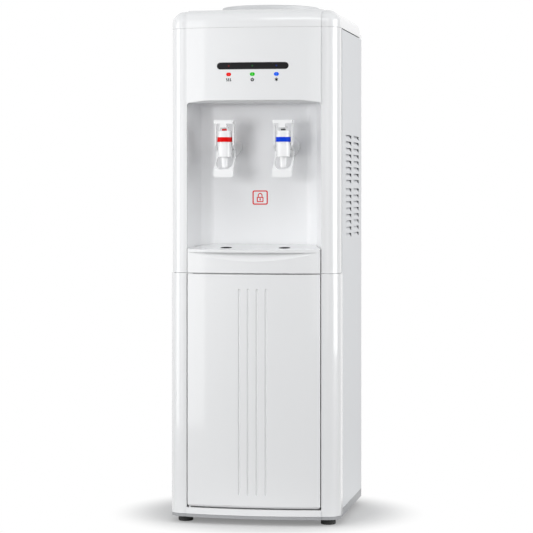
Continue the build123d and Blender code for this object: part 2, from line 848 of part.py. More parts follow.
# Tank shelf: a sheet between the side panels, under the cold tank
shelf_top = shelf_height + sheet
foam_bottom = shelf_top + seat_gap
tank_bottom = foam_bottom + foam_floor + seat_gap
cold_outlet = (tap_half_spacing, cold_outlet_y)
link_outlet = (link_outlet_x, link_outlet_y)
with BuildPart() as tank_shelf:
    with BuildSketch(Plane.XY.offset(shelf_height)):
        with Locations((0, (shelf_front + back_face - seat_gap) / 2)):
            Rectangle(2 * deck_half, back_face - seat_gap - shelf_front)
        with Locations(cold_outlet, link_outlet):
            Circle(hose_radius + seat_gap, mode=Mode.SUBTRACT)
        with Locations((suction_x, suction_y), (gas_pipe_x, discharge_y), (dryer_x, dryer_y)):
            Circle(shelf_hole_radius, mode=Mode.SUBTRACT)
    extrude(amount=sheet)
    with BuildSketch(Plane.XY.offset(shelf_height)):
        for side in (-1, 1):
            with Locations((side * (deck_half - sheet / 2), (shelf_front + back_face - seat_gap) / 2)):
                Rectangle(sheet, back_face - seat_gap - shelf_front)
    extrude(amount=deck_flange)
tank_shelf.part.label = "tank_shelf"
export_step(tank_shelf.part, "parts/tank_shelf.step")

# Upper fascia: one moulding of two columns and a bowed middle, open where the alcove and the drip tray are
arch_top = alcove_top + alcove_arch_rise
board_front = front_y + board_depth
board_middle = (window_middle + lens_middle) / 2
with BuildPart() as window_pocket_cut:
    with BuildSketch(Plane.XZ.offset(-column_y)):
        with Locations((0, window_middle)):
            SlotOverall(window_width + seat_gap, window_height + seat_gap)
    extrude(amount=overrun)
    with BuildSketch(Plane.XY.offset(window_middle - window_height)):
        add(bow_plan(bow_half_width, column_y + overrun, inset=window_pocket))
    extrude(amount=2 * window_height, mode=Mode.SUBTRACT)

with BuildPart() as upper_fascia:
    with BuildSketch(Plane.XY.offset(fascia_bottom)):
        add(shell_plan(fascia_side, column_y, corner_radius, panel_front_y - seam_gap, bow=1))
    extrude(amount=fascia_height)
    with BuildSketch(Plane.XY.offset(fascia_bottom)):
        add(shell_plan(fascia_side, column_y, corner_radius, panel_front_y, inset=fascia_wall))
    extrude(amount=fascia_height, mode=Mode.SUBTRACT)
    with BuildSketch(Plane.XY.offset(arch_top + fascia_wall)):
        add(bow_plan(bow_half_width - fascia_wall, column_y + 2 * fascia_wall, inset=fascia_wall))
    extrude(amount=fascia_height, mode=Mode.SUBTRACT)
    with BuildSketch(Plane.XZ.offset(-return_y)):
        with Locations((0, (fascia_bottom + alcove_top + fascia_wall) / 2)):
            Rectangle(2 * (opening_half + fascia_wall), alcove_top + fascia_wall - fascia_bottom)
    extrude(amount=return_depth)
    with BuildSketch(Plane.XZ.offset(-return_y - overrun)):
        with Locations((0, (fascia_bottom - overrun + alcove_top) / 2)):
            RectangleRounded(2 * opening_half, alcove_top - fascia_bottom + overrun, alcove_corner_radius)
    extrude(amount=2 * overrun + bow_sagitta + return_depth, mode=Mode.SUBTRACT)
    with BuildSketch(Plane.XZ.offset(-return_y + overrun)):
        with Locations((0, (fascia_bottom - overrun + alcove_top) / 2)):
            RectangleRounded(2 * opening_half, alcove_top - fascia_bottom + overrun, alcove_corner_radius)
    extrude(amount=2 * overrun + bow_sagitta + 2 * return_depth, mode=Mode.SUBTRACT)
    with BuildSketch(Plane.YZ):
        with BuildLine():
            Polyline((bow_edge_y, alcove_top), (bow_edge_y - alcove_arch_run, arch_top),
                     (front_y - overrun, arch_top), (front_y - overrun, alcove_top - overrun),
                     (bow_edge_y, alcove_top - overrun), close=True)
        make_face()
    extrude(amount=opening_half, both=True, mode=Mode.SUBTRACT)
    for side in (-1, 1):
        post_x = side * board_post_spacing / 2
        with BuildSketch(Plane.XZ.offset(-board_front)):
            with Locations((post_x, board_middle)):
                Circle(board_post_radius)
        extrude(amount=board_front - bow_y(post_x) - fascia_wall / 2)
    add(window_pocket_cut.part, mode=Mode.SUBTRACT)
    with BuildSketch(Plane.XZ.offset(-board_front)):
        with Locations((0, lens_middle)):
            with GridLocations(lens_pitch, 0, 3, 1):
                SlotOverall(lens_width + 2 * fit_gap, lens_height + 2 * fit_gap)
    extrude(amount=board_depth + overrun, mode=Mode.SUBTRACT)
upper_fascia.part.label = "upper_fascia"
export_step(upper_fascia.part, "parts/upper_fascia.step")

# Display window: a dark strip that follows the bow
with BuildPart() as display_window:
    with BuildSketch(Plane.XZ.offset(-column_y)):
        with Locations((0, window_middle)):
            SlotOverall(window_width, window_height)
    extrude(amount=overrun)
    with BuildSketch(Plane.XY.offset(window_middle - window_height)):
        add(bow_plan(bow_half_width, column_y + overrun, inset=window_recess + window_thickness))
    extrude(amount=2 * window_height, mode=Mode.SUBTRACT)
    with BuildSketch(Plane.XY.offset(window_middle - window_height)):
        add(bow_plan(bow_half_width, column_y + overrun, inset=window_recess))
    extrude(amount=2 * window_height, mode=Mode.INTERSECT)
display_window.part.label = "display_window"
export_step(display_window.part, "parts/display_window.step")

# Indicator board behind the fascia, and the three lenses in front of it
with BuildPart() as indicator_board:
    with BuildSketch(Plane.XZ.offset(-board_front)):
        with Locations((0, board_middle)):
            Rectangle(board_width, board_height)
    extrude(amount=-board_thickness)
indicator_board.part.label = "indicator_board"
export_step(indicator_board.part, "parts/indicator_board.step")

for place, name in ((-1, "hot_lens"), (0, "power_lens"), (1, "cold_lens")):
    lens_x = place * lens_pitch
    with BuildPart() as lens:
        with BuildSketch(Plane.XZ.offset(-board_front)):
            with Locations((lens_x, lens_middle)):
                SlotOverall(lens_width, lens_height)
        extrude(amount=board_front - bow_y(lens_x) + lens_proud)
        fillet(lens.edges().group_by(Axis.Y)[0], lens_proud / 2)
    lens.part.label = name
    export_step(lens.part, f"parts/{name}.step")

# Alcove liner: walls that slant to a flat back, a ceiling that drops to the back and a floor for the tray
liner_bottom = frame_top + seat_gap
liner_floor_top = liner_bottom + moulding_wall
ceiling_run = wall_y - liner_front
with BuildPart() as alcove_void:
    with BuildSketch(Plane.XY.offset(liner_floor_top)):
        add(alcove_plan(0, liner_front - overrun))
    extrude(amount=alcove_top - liner_floor_top)
    split(bisect_by=Plane(origin=(0, liner_front, alcove_top), z_dir=(0, alcove_ceiling_drop, ceiling_run)),
          keep=Keep.BOTTOM)
    ceiling_edges = alcove_void.faces().sort_by(Axis.Z)[-1].edges()
    fillet([e for e in ceiling_edges if e.center().Y > liner_front - overrun + seat_gap],
           alcove_corner_radius)

with BuildPart() as alcove_liner:
    with BuildSketch(Plane.XY.offset(liner_bottom)):
        add(alcove_plan(moulding_wall, liner_front))
    extrude(amount=alcove_top + moulding_wall - liner_bottom)
    add(alcove_void.part, mode=Mode.SUBTRACT)
    with BuildSketch(Plane.XZ.offset(-wall_y + overrun)):
        with Locations((0, tap_height)):
            with GridLocations(2 * tap_half_spacing, 0, 2, 1):
                Circle(spigot_radius + fit_gap)
    extrude(amount=-2 * overrun, mode=Mode.SUBTRACT)
alcove_liner.part.label = "alcove_liner"
export_step(alcove_liner.part, "parts/alcove_liner.step")

# Drip tray: a tub with a bowed front wall that is scooped for the fingers under the cover's lip
tray_slope = tray_rise / (wall_y - front_y)
tray_front_bottom = fascia_bottom
tray_bottom = liner_floor_top + seat_gap
lip_bottom = tray_lip_top - tray_lip


def slope_plane(drop):
    """Plane parallel to the top of the tray's cover, a distance below it."""
    return Plane(origin=(0, front_y, tray_lip_top - drop), z_dir=(0, -tray_slope, 1))


with BuildPart() as drip_tray:
    with BuildSketch(Plane.XY.offset(tray_bottom)):
        add(alcove_plan(-tray_side_gap, return_y - tray_side_gap))
    extrude(amount=tray_lip_height + tray_rise)
    split(bisect_by=slope_plane(tray_cover_thickness + seat_gap), keep=Keep.BOTTOM)
    with BuildSketch(Plane.XY.offset(tray_front_bottom)):
        add(bow_plan(door_half, return_y))
    extrude(amount=lip_bottom - seat_gap - tray_front_bottom)
    with BuildSketch(Plane.XY.offset(tray_bottom + tray_wall)):
        basin_front = front_y + tray_front_wall
        add(alcove_plan(-(opening_half - door_half + tray_wall), basin_front))
    extrude(amount=tray_lip_height + tray_rise, mode=Mode.SUBTRACT)
    with BuildSketch(Plane.XY.offset(tray_front_bottom)):
        add(bow_plan(tray_core_half_width, basin_front - tray_core_wall, inset=tray_core_wall))
    extrude(amount=tray_core_height, mode=Mode.SUBTRACT)
    scoop_z = tray_front_bottom + tray_scoop_bottom
    scoop_run = (lip_bottom - scoop_z) * cos(radians(tray_scoop_slope)) / sin(radians(tray_scoop_slope))
    scoop_fall = overrun * sin(radians(tray_scoop_slope)) / cos(radians(tray_scoop_slope))
    with BuildSketch(Plane.YZ):
        with BuildLine():
            Polyline((front_y - overrun, scoop_z - scoop_fall), (front_y + scoop_run, lip_bottom),
                     (front_y - overrun, lip_bottom), close=True)
        make_face()
    extrude(amount=bow_half_width, both=True, mode=Mode.SUBTRACT)
drip_tray.part.label = "drip_tray"
export_step(drip_tray.part, "parts/drip_tray.step")

# Cover of the drip tray: a sloping plate with two drain holes and a lip that follows the bow
with BuildPart() as under_cover:
    with BuildSketch(Plane.XY.offset(lip_bottom)):
        add(bow_plan(bow_half_width, wall_y + overrun, inset=tray_cover_thickness))
    extrude(amount=tray_lip + tray_rise)
    split(bisect_by=slope_plane(tray_cover_thickness), keep=Keep.BOTTOM)

with BuildPart() as drip_grille:
    with BuildSketch(Plane.XY.offset(lip_bottom)):
        add(bow_plan(door_half, return_y))
        add(alcove_plan(-tray_side_gap, return_y - tray_side_gap))
    extrude(amount=tray_lip + tray_rise)
    split(bisect_by=slope_plane(0), keep=Keep.BOTTOM)
    add(under_cover.part, mode=Mode.SUBTRACT)
    with BuildSketch(Plane.XY.offset(lip_bottom)):
        with Locations((0, front_y + drain_hole_from_front)):
            with GridLocations(2 * tap_half_spacing, 0, 2, 1):
                Circle(drain_hole_radius)
    extrude(amount=tray_lip + tray_rise, mode=Mode.SUBTRACT)
drip_grille.part.label = "drip_grille"
export_step(drip_grille.part, "parts/drip_grille.step")

# Top cover: a rounded shell with a slightly higher bowed middle, and a round hole for the bottle collar
cover_side = side_x + cover_overhang
cover_back = back_y


def cover_solid(inset):
    """Outer form of the cover, drawn in by a wall thickness."""
    low_top = cover_top - cover_step - inset
    with BuildPart() as form:
        with BuildSketch(Plane.XY.offset(cover_bottom)):
            with Locations((0, (column_y + cover_back) / 2)):
                RectangleRounded(2 * (cover_side - inset), cover_back - column_y - 2 * inset,
                                 corner_radius - inset)
        extrude(amount=low_top - cover_bottom)
        fillet(form.faces().sort_by(Axis.Z)[-1].edges(), cover_edge_radius - inset)
    with BuildPart() as middle:
        with BuildSketch(Plane.XY.offset(cover_bottom)):
            add(bow_plan(bow_half_width - inset, cover_back - shut_gap - inset, inset=inset))
        extrude(amount=cover_top - inset - cover_bottom)
        top_edges = middle.faces().sort_by(Axis.Z)[-1].edges().sort_by(Axis.Y)
        fillet([top_edges[0], top_edges[-1]], cover_edge_radius - inset)
    return form.part + middle.part


with BuildPart() as top_cover:
    add(cover_solid(0))
    with BuildSketch(Plane.XY.offset(cover_bottom)):
        with Locations((0, (cover_skirt_front + cover_back) / 2)):
            RectangleRounded(2 * cover_side, cover_back - cover_skirt_front, cover_skirt_radius)
    extrude(amount=cover_skirt_height)
    add(cover_solid(fascia_wall), mode=Mode.SUBTRACT)
    with BuildSketch(Plane.XY.offset(cover_bottom)):
        with Locations((0, collar_y)):
            Circle(cover_hole_radius)
    extrude(amount=cover_height, mode=Mode.SUBTRACT)
top_cover.part.label = "top_cover"
export_step(top_cover.part, "parts/top_cover.step")

# Bottle collar: a ring on the cover with a funnel down to the bore that guides the neck of the bottle
collar_top = cover_top + collar_height
neck_top = cover_top - neck_drop
neck_bottom = neck_top - neck_length
with BuildPart() as bottle_collar:
    with BuildSketch(Plane.XZ.offset(-collar_y)):
        with BuildLine():
            Polyline((collar_radius, cover_top), (collar_radius, collar_top),
                     (collar_radius - collar_land, collar_top), (neck_radius, neck_top),
                     (neck_radius, neck_bottom), (neck_radius + collar_wall, neck_bottom),
                     (neck_radius + collar_wall, neck_top - collar_wall / 2),
                     (collar_radius - collar_land, collar_top - collar_wall * 1.5),
                     (collar_radius - collar_wall, collar_top - collar_wall * 1.5),
                     (collar_radius - collar_wall, cover_top), close=True)
        make_face()
    revolve(axis=Axis((0, collar_y, 0), (0, 0, 1)))
    circles = bottle_collar.edges().filter_by(GeomType.CIRCLE)
    fillet([e for e in circles if e.center().Z > collar_top - seat_gap], collar_edge)
bottle_collar.part.label = "bottle_collar"
export_step(bottle_collar.part, "parts/bottle_collar.step")


def ring(x, y, bottom, height, outer, inner):
    """Upright ring, or a disc where the inner radius is zero."""
    with BuildPart() as piece:
        with BuildSketch(Plane.XY.offset(bottom)):
            with Locations((x, y)):
                Circle(outer)
                if inner:
                    Circle(inner, mode=Mode.SUBTRACT)
        extrude(amount=height)
    return piece.part


# Lid of the cold tank, with a collar round the bottle's bore
tank_top = tank_bottom + cold_tank_height
with BuildPart() as cold_tank_lid:
    lid_bore = neck_radius + collar_wall + seat_gap
    lid_bottom = tank_top + seat_gap
    lid_rise = lid_thickness + lid_collar_height
    add(ring(0, tank_y, lid_bottom, lid_thickness, lid_radius, 0))
    add(ring(0, collar_y, lid_bottom, lid_rise, lid_bore + lid_collar_wall, 0))
    add(ring(0, collar_y, lid_bottom, lid_rise, lid_bore, 0), mode=Mode.SUBTRACT)
cold_tank_lid.part.label = "cold_tank_lid"
export_step(cold_tank_lid.part, "parts/cold_tank_lid.step")

# Cold tank: an open steel pot with a turned-out lip and two outlets in its floor
with BuildPart() as cold_tank:
    tank_bore = cold_tank_radius - cold_tank_wall
    add(ring(0, tank_y, tank_bottom, cold_tank_wall, cold_tank_radius, 0))
    add(ring(0, tank_y, tank_bottom, cold_tank_height, cold_tank_radius, tank_bore))
    add(ring(0, tank_y, tank_top - cold_tank_wall, cold_tank_wall, cold_tank_radius + cold_tank_lip,
             tank_bore))
    with BuildSketch(Plane.XY.offset(tank_bottom)):
        with Locations(cold_outlet, link_outlet):
            Circle(hose_bore)
    extrude(amount=cold_tank_wall, mode=Mode.SUBTRACT)
cold_tank.part.label = "cold_tank"
export_step(cold_tank.part, "parts/cold_tank.step")

# Insulation round the cold tank, with a chase at the back for the lines of the coil
coil_radius = cold_tank_radius + coil_gap + coil_tube_radius
foam_top = tank_top - cold_tank_wall - seat_gap
with BuildPart() as cold_tank_foam:
    with BuildSketch(Plane.XY.offset(foam_bottom)):
        with Locations((0, (foam_front + foam_back) / 2)):
            Rectangle(2 * foam_half_width, foam_back - foam_front)
    extrude(amount=foam_top - foam_bottom)
    with BuildSketch(Plane.XY.offset(foam_bottom + foam_floor)):
        with Locations((0, tank_y)):
            Circle(coil_radius + coil_tube_radius + coil_gap)
        with Locations((0, foam_back)):
            Rectangle(2 * foam_chase, 2 * (foam_back - tank_y - cold_tank_radius))
    extrude(amount=foam_top - foam_bottom, mode=Mode.SUBTRACT)
    with BuildSketch(Plane.XY.offset(foam_bottom)):
        with Locations(cold_outlet, link_outlet):
            Circle(hose_radius + seat_gap)
    extrude(amount=foam_floor, mode=Mode.SUBTRACT)
cold_tank_foam.part.label = "cold_tank_foam"
export_step(cold_tank_foam.part, "parts/cold_tank_foam.step")


def coil(radius, pitch, height, wire, lefthand):
    """Round wire wound into a helix that starts on the X axis at the origin's height."""
    with BuildPart() as wound:
        with BuildLine() as route:
            Helix(pitch, height, radius, lefthand=lefthand)
        with BuildSketch(Plane(origin=route.line @ 0, z_dir=route.line % 0)):
            Circle(wire)
        sweep(is_frenet=True)
    return wound.part


# Evaporator coil round the cold tank, both ends at the back
coil_low = tank_bottom + coil_start
coil_high = coil_low + coil_turns * coil_pitch
coil_back = tank_y + coil_radius
with BuildPart() as evaporator_coil:
    with Locations(Location((0, tank_y, coil_low), (0, 0, 90))):
        add(coil(coil_radius, coil_pitch, coil_turns * coil_pitch, coil_tube_radius, True))
evaporator_coil.part.label = "evaporator_coil"
export_step(evaporator_coil.part, "parts/evaporator_coil.step")

# Hot tank with two thermostats on top, an inlet and a drain pipe below
hot_tank_top = hot_tank_bottom + hot_tank_height
with BuildPart() as hot_tank:
    add(ring(hot_tank_x, hot_tank_y, hot_tank_bottom, hot_tank_height, hot_tank_radius, 0))
    fillet(hot_tank.edges().filter_by(GeomType.CIRCLE), hot_tank_dome)
    offset(amount=-hot_tank_wall, openings=[], mode=Mode.SUBTRACT)
    with BuildSketch(Plane.XY.offset(hot_tank_top)):
        with Locations((hot_tank_x, hot_tank_y)):
            with GridLocations(2 * thermostat_half_spacing, 0, 2, 1):
                Circle(thermostat_radius)
    extrude(amount=thermostat_height)
    drain_y = hot_tank_y + hot_port_offset
    drain_end = back_face + sheet + drain_cap_length - 2 * drain_cap_wall
    drain_route = ((hot_tank_x, drain_y, hot_tank_bottom + hot_tank_wall),
                   (hot_tank_x, drain_y, drain_pipe_height), (hot_tank_x, drain_end, drain_pipe_height))
    add(pipe(drain_route, line_bend, drain_pipe_radius, 0))
    add(pipe(drain_route, line_bend, drain_pipe_bore, 0), mode=Mode.SUBTRACT)
    with BuildSketch(Plane.XY.offset(hot_tank_bottom)):
        with Locations((hot_tank_x, hot_tank_y - hot_port_offset)):
            Circle(hose_bore)
    extrude(amount=hot_tank_wall, mode=Mode.SUBTRACT)
    with BuildSketch(Plane.XY.offset(hot_tank_top)):
        with Locations((hot_tank_x, hot_tank_y)):
            Circle(hose_bore)
    extrude(amount=-hot_tank_wall, mode=Mode.SUBTRACT)
hot_tank.part.label = "hot_tank"
export_step(hot_tank.part, "parts/hot_tank.step")

# Sleeve of insulation round the hot tank, on three legs
jacket_bottom = hot_tank_bottom - seat_gap - jacket_floor
with BuildPart() as hot_tank_jacket:
    jacket_bore = hot_tank_radius + seat_gap
    add(ring(hot_tank_x, hot_tank_y, jacket_bottom, hot_tank_height + jacket_floor - jacket_top_drop,
             jacket_radius, jacket_bore))
    add(ring(hot_tank_x, hot_tank_y, jacket_bottom, jacket_floor, jacket_radius, jacket_hole_radius))
    with BuildSketch(Plane.XY.offset(deck_top)):
        with Locations((hot_tank_x, hot_tank_y)):
            with PolarLocations(jacket_leg_circle, 3, start_angle=jacket_leg_angle):
                Circle(jacket_leg_radius)
    extrude(amount=jacket_bottom - deck_top + jacket_floor)
hot_tank_jacket.part.label = "hot_tank_jacket"
export_step(hot_tank_jacket.part, "parts/hot_tank_jacket.step")

# Cap on the end of the drain pipe, behind the back panel
with BuildPart() as drain_cap:
    with BuildSketch(Plane.XZ.offset(-(back_face + sheet + seat_gap))):
        with Locations((hot_tank_x, drain_pipe_height)):
            Circle(drain_cap_radius)
    extrude(amount=-drain_cap_length)
    fillet(drain_cap.edges().group_by(Axis.Y)[-1], drain_cap_wall)
    with BuildSketch(Plane.XZ.offset(-(back_face + sheet + seat_gap))):
        with Locations((hot_tank_x, drain_pipe_height)):
            Circle(drain_pipe_radius + fit_gap)
    extrude(amount=-(drain_cap_length - drain_cap_wall - seat_gap), mode=Mode.SUBTRACT)
drain_cap.part.label = "drain_cap"
export_step(drain_cap.part, "parts/drain_cap.step")

# Compressor on a foot plate, with its relay box in front
plate_bottom = deck_top + grommet_height
shell_bottom = plate_bottom + compressor_plate
with BuildPart() as compressor:
    add(ring(compressor_x, compressor_y, plate_bottom, compressor_height + compressor_plate,
             compressor_radius, 0))
    fillet(compressor.edges().group_by(Axis.Z)[-1], compressor_dome)
    add(ring(compressor_x, compressor_y, shell_bottom + compressor_height / 2, compressor_seam,
             compressor_radius + compressor_seam, 0))
    with BuildSketch(Plane.XY.offset(plate_bottom)):
        with Locations((compressor_x, compressor_y)):
            RectangleRounded(compressor_plate_width, compressor_plate_depth, grommet_radius)
    extrude(amount=compressor_plate)
    relay_back = compressor_y - compressor_radius + relay_bite
    with BuildSketch(Plane.XY.offset(relay_bottom)):
        with Locations((compressor_x, relay_back - (relay_depth + relay_bite) / 2)):
            Rectangle(relay_width, relay_depth + relay_bite)
    extrude(amount=relay_height)
compressor.part.label = "compressor"
export_step(compressor.part, "parts/compressor.step")

with BuildPart() as compressor_grommets:
    with BuildSketch(Plane.XY.offset(deck_top)):
        with Locations((compressor_x, compressor_y)):
            with GridLocations(grommet_spacing_x, grommet_spacing_y, 2, 2):
                Circle(grommet_radius)
    extrude(amount=grommet_height)
compressor_grommets.part.label = "compressor_grommets"
export_step(compressor_grommets.part, "parts/compressor_grommets.step")

# Condenser: a serpentine tube behind the back panel with upright wires on both sides and four clips
with BuildPart() as condenser:
    turns = []
    for run in range(condenser_runs):
        run_z = condenser_bottom + run * condenser_pitch
        way = 1 if run % 2 == 0 else -1
        turns.append((-way * condenser_half_width, condenser_y, run_z))
        turns.append((way * condenser_half_width, condenser_y, run_z))
    add(pipe(turns, condenser_bend, condenser_tube_radius, 0))
    for run in (0, condenser_runs - 1):
        run_z = condenser_bottom + run * condenser_pitch
        with BuildSketch(Plane.XZ.offset(-(back_face + sheet))):
            with Locations((0, run_z)):
                with GridLocations(2 * (condenser_half_width - condenser_bend - clip_from_end), 0, 2, 1):
                    Rectangle(clip_width, clip_height)
        extrude(amount=-(condenser_y - back_face - sheet))
    condenser_height = (condenser_runs - 1) * condenser_pitch
    wire_y = condenser_tube_radius + condenser_wire_radius + condenser_wire_gap
    with BuildSketch(Plane.XY.offset(condenser_bottom - condenser_wire_overhang)):
        with Locations((0, condenser_y)):
            with GridLocations(condenser_wire_pitch, 2 * wire_y, condenser_wires, 2):
                Circle(condenser_wire_radius)
    extrude(amount=condenser_height + 2 * condenser_wire_overhang)
condenser.part.label = "condenser"
export_step(condenser.part, "parts/condenser.step")

# Discharge line: from the compressor up and back to the top of the condenser
line_end_gap = hose_end_gap
discharge_start = compressor_y + compressor_radius + line_end_gap
with BuildPart() as discharge_line:
    add(pipe(((compressor_x, discharge_start, discharge_height),
              (compressor_x, discharge_y, discharge_height),
              (gas_pipe_x, discharge_y, discharge_height), (gas_pipe_x, discharge_y, gas_pipe_z),
              (gas_pipe_x, condenser_y, gas_pipe_z),
              (condenser_half_width + line_end_gap, condenser_y, gas_pipe_z)), line_bend, line_radius, 0))
discharge_line.part.label = "discharge_line"
export_step(discharge_line.part, "parts/discharge_line.step")

# Suction line: from the top of the evaporator coil down to the compressor
suction_offset = suction_x - compressor_x
suction_end = compressor_y + sqrt(compressor_radius ** 2 - suction_offset ** 2) + line_bend / 2
with BuildPart() as suction_line:
    add(pipe(((line_end_gap, coil_back, coil_high), (line_exit_x, coil_back, coil_high),
              (line_exit_x, suction_y, coil_high), (suction_x, suction_y, coil_high),
              (suction_x, suction_y, suction_height), (suction_x, suction_end, suction_height)),
             line_radius + line_end_gap, line_radius, 0))
suction_line.part.label = "suction_line"
export_step(suction_line.part, "parts/suction_line.step")

# Liquid line: from the bottom of the condenser through the dryer, then a capillary to the coil
dryer_bottom = dryer_pipe_z + dryer_rise
with BuildPart() as liquid_line:
    add(pipe(((-condenser_half_width - line_end_gap, condenser_y, condenser_bottom),
              (dryer_x, condenser_y, condenser_bottom), (dryer_x, condenser_y, dryer_pipe_z),
              (dryer_x, dryer_y, dryer_pipe_z), (dryer_x, dryer_y, dryer_bottom)),
             line_bend, line_radius, 0))
    add(ring(dryer_x, dryer_y, dryer_bottom, dryer_length, dryer_radius, 0))
    fillet(liquid_line.edges().filter_by(GeomType.CIRCLE).filter_by(lambda e: e.radius > line_radius),
           dryer_radius / 3)
    add(pipe(((dryer_x, dryer_y, dryer_bottom + dryer_length - line_radius), (dryer_x, dryer_y, coil_low),
              (-line_exit_x, dryer_y, coil_low), (-line_exit_x, coil_back, coil_low),
              (-line_end_gap, coil_back, coil_low)), line_bend, capillary_radius, 0))
liquid_line.part.label = "liquid_line"
export_step(liquid_line.part, "parts/liquid_line.step")

# Hoses: cold tank to cold tap, hot tank to hot tap, cold tank to hot tank
spigot_end = wall_y + spigot_length + hose_end_gap
hose_routes = (
    ("cold_hose", ((tap_half_spacing, cold_outlet_y, tank_bottom - hose_end_gap),
                   (tap_half_spacing, cold_outlet_y, tap_height),
                   (tap_half_spacing, spigot_end, tap_height))),
    ("hot_hose", ((hot_tank_x, hot_tank_y, hot_tank_top + hose_end_gap),
                  (hot_tank_x, hot_tank_y, tap_height),
                  (-tap_half_spacing, cold_outlet_y - 2 * hose_bend, tap_height),
                  (-tap_half_spacing, spigot_end, tap_height))),
    ("link_hose", ((link_outlet_x, link_outlet_y, tank_bottom - hose_end_gap),
                   (link_outlet_x, link_outlet_y, link_height),
                   (hot_tank_x, link_outlet_y, link_height),
                   (hot_tank_x, hot_tank_y - hot_port_offset, link_height),
                   (hot_tank_x, hot_tank_y - hot_port_offset, hot_tank_bottom - hose_end_gap))),
)
for name, points in hose_routes:
    hose = pipe(points, hose_bend, hose_radius, hose_bore)
    hose.label = name
    export_step(hose, f"parts/{name}.step")

# Switch plate on the back, with a housing for each of the two rocker switches
plate_back = back_face + sheet + plate_thickness
rocker_room_x = rocker_width + 2 * rocker_gap
rocker_room_z = rocker_height + 2 * rocker_gap
with BuildPart() as switch_plate:
    with BuildSketch(Plane.XZ.offset(-back_face - sheet)):
        with Locations((0, plate_middle)):
            RectangleRounded(plate_width, plate_height, rocker_wall)
    extrude(amount=-plate_thickness)
    with BuildSketch(Plane.XZ.offset(-plate_back)):
        with Locations((0, plate_middle)):
            with GridLocations(rocker_spacing, 0, 2, 1):
                Rectangle(rocker_room_x + 2 * rocker_wall, rocker_room_z + 2 * rocker_wall)
    extrude(amount=rocker_body_depth)
    with BuildSketch(Plane.XZ.offset(-plate_back)):
        with Locations((0, plate_middle)):
            with GridLocations(rocker_spacing, 0, 2, 1):
                Rectangle(rocker_room_x, rocker_room_z)
    extrude(amount=rocker_body_depth - rocker_wall, mode=Mode.SUBTRACT)
    with BuildSketch(Plane.YZ):
        with Locations((plate_back, plate_middle)):
            Circle(rocker_pin_radius + fit_gap)
    extrude(amount=(rocker_spacing + rocker_room_x + rocker_wall) / 2, both=True, mode=Mode.SUBTRACT)
switch_plate.part.label = "switch_plate"
export_step(switch_plate.part, "parts/switch_plate.step")

# Rocker switches, each tilted on its pin to the side marked off
for side, name in ((-1, "heating_switch"), (1, "cooling_switch")):
    with BuildPart() as rocker:
        rocker_plane = Plane(origin=(side * rocker_spacing / 2, plate_back, plate_middle),
                             z_dir=(0, cos(radians(rocker_tilt)), sin(radians(rocker_tilt))),
                             x_dir=(1, 0, 0))
        with BuildSketch(rocker_plane):
            RectangleRounded(rocker_width, rocker_height, rocker_gap)
        extrude(amount=rocker_thickness / 2, both=True)
        with BuildSketch(Plane.YZ.offset(side * rocker_spacing / 2)):
            with Locations((plate_back, plate_middle)):
                Circle(rocker_pin_radius)
        extrude(amount=(rocker_room_x + rocker_wall) / 2 - fit_gap, both=True)
    rocker.part.label = name
    export_step(rocker.part, f"parts/{name}.step")

# Gland for the mains cord in the back panel
with BuildPart() as cord_gland:
    with BuildSketch(Plane.XZ.offset(-back_face - sheet)):
        with Locations((gland_x, gland_height)):
            Circle(gland_flange_radius)
    extrude(amount=-plate_thickness)
    with BuildSketch(Plane.XZ.offset(-back_face - sheet)):
        with Locations((gland_x, gland_height)):
            Circle(gland_radius)
    extrude(amount=gland_length)
    with BuildSketch(Plane.XZ.offset(-back_face - sheet - plate_thickness)):
        with Locations((gland_x, gland_height)):
            Circle(gland_bore)
    extrude(amount=gland_length + plate_thickness, mode=Mode.SUBTRACT)
cord_gland.part.label = "cord_gland"
export_step(cord_gland.part, "parts/cord_gland.step")

# Taps. The lever hangs from a pin in front of the stem, so pushing its lower end back lifts the stem.
seat_height = barrel_bottom + barrel_seat
nozzle_tip = barrel_bottom - nozzle_length
bonnet_top = barrel_top + bonnet_height
spring_bottom = stem_bottom + plunger_height
spring_top = barrel_top + spring_room
fork_top = lever_fork_bottom + lever_fork
head_bottom_z = fork_top + stem_head_gap
pivot_y = tap_y - pivot_front


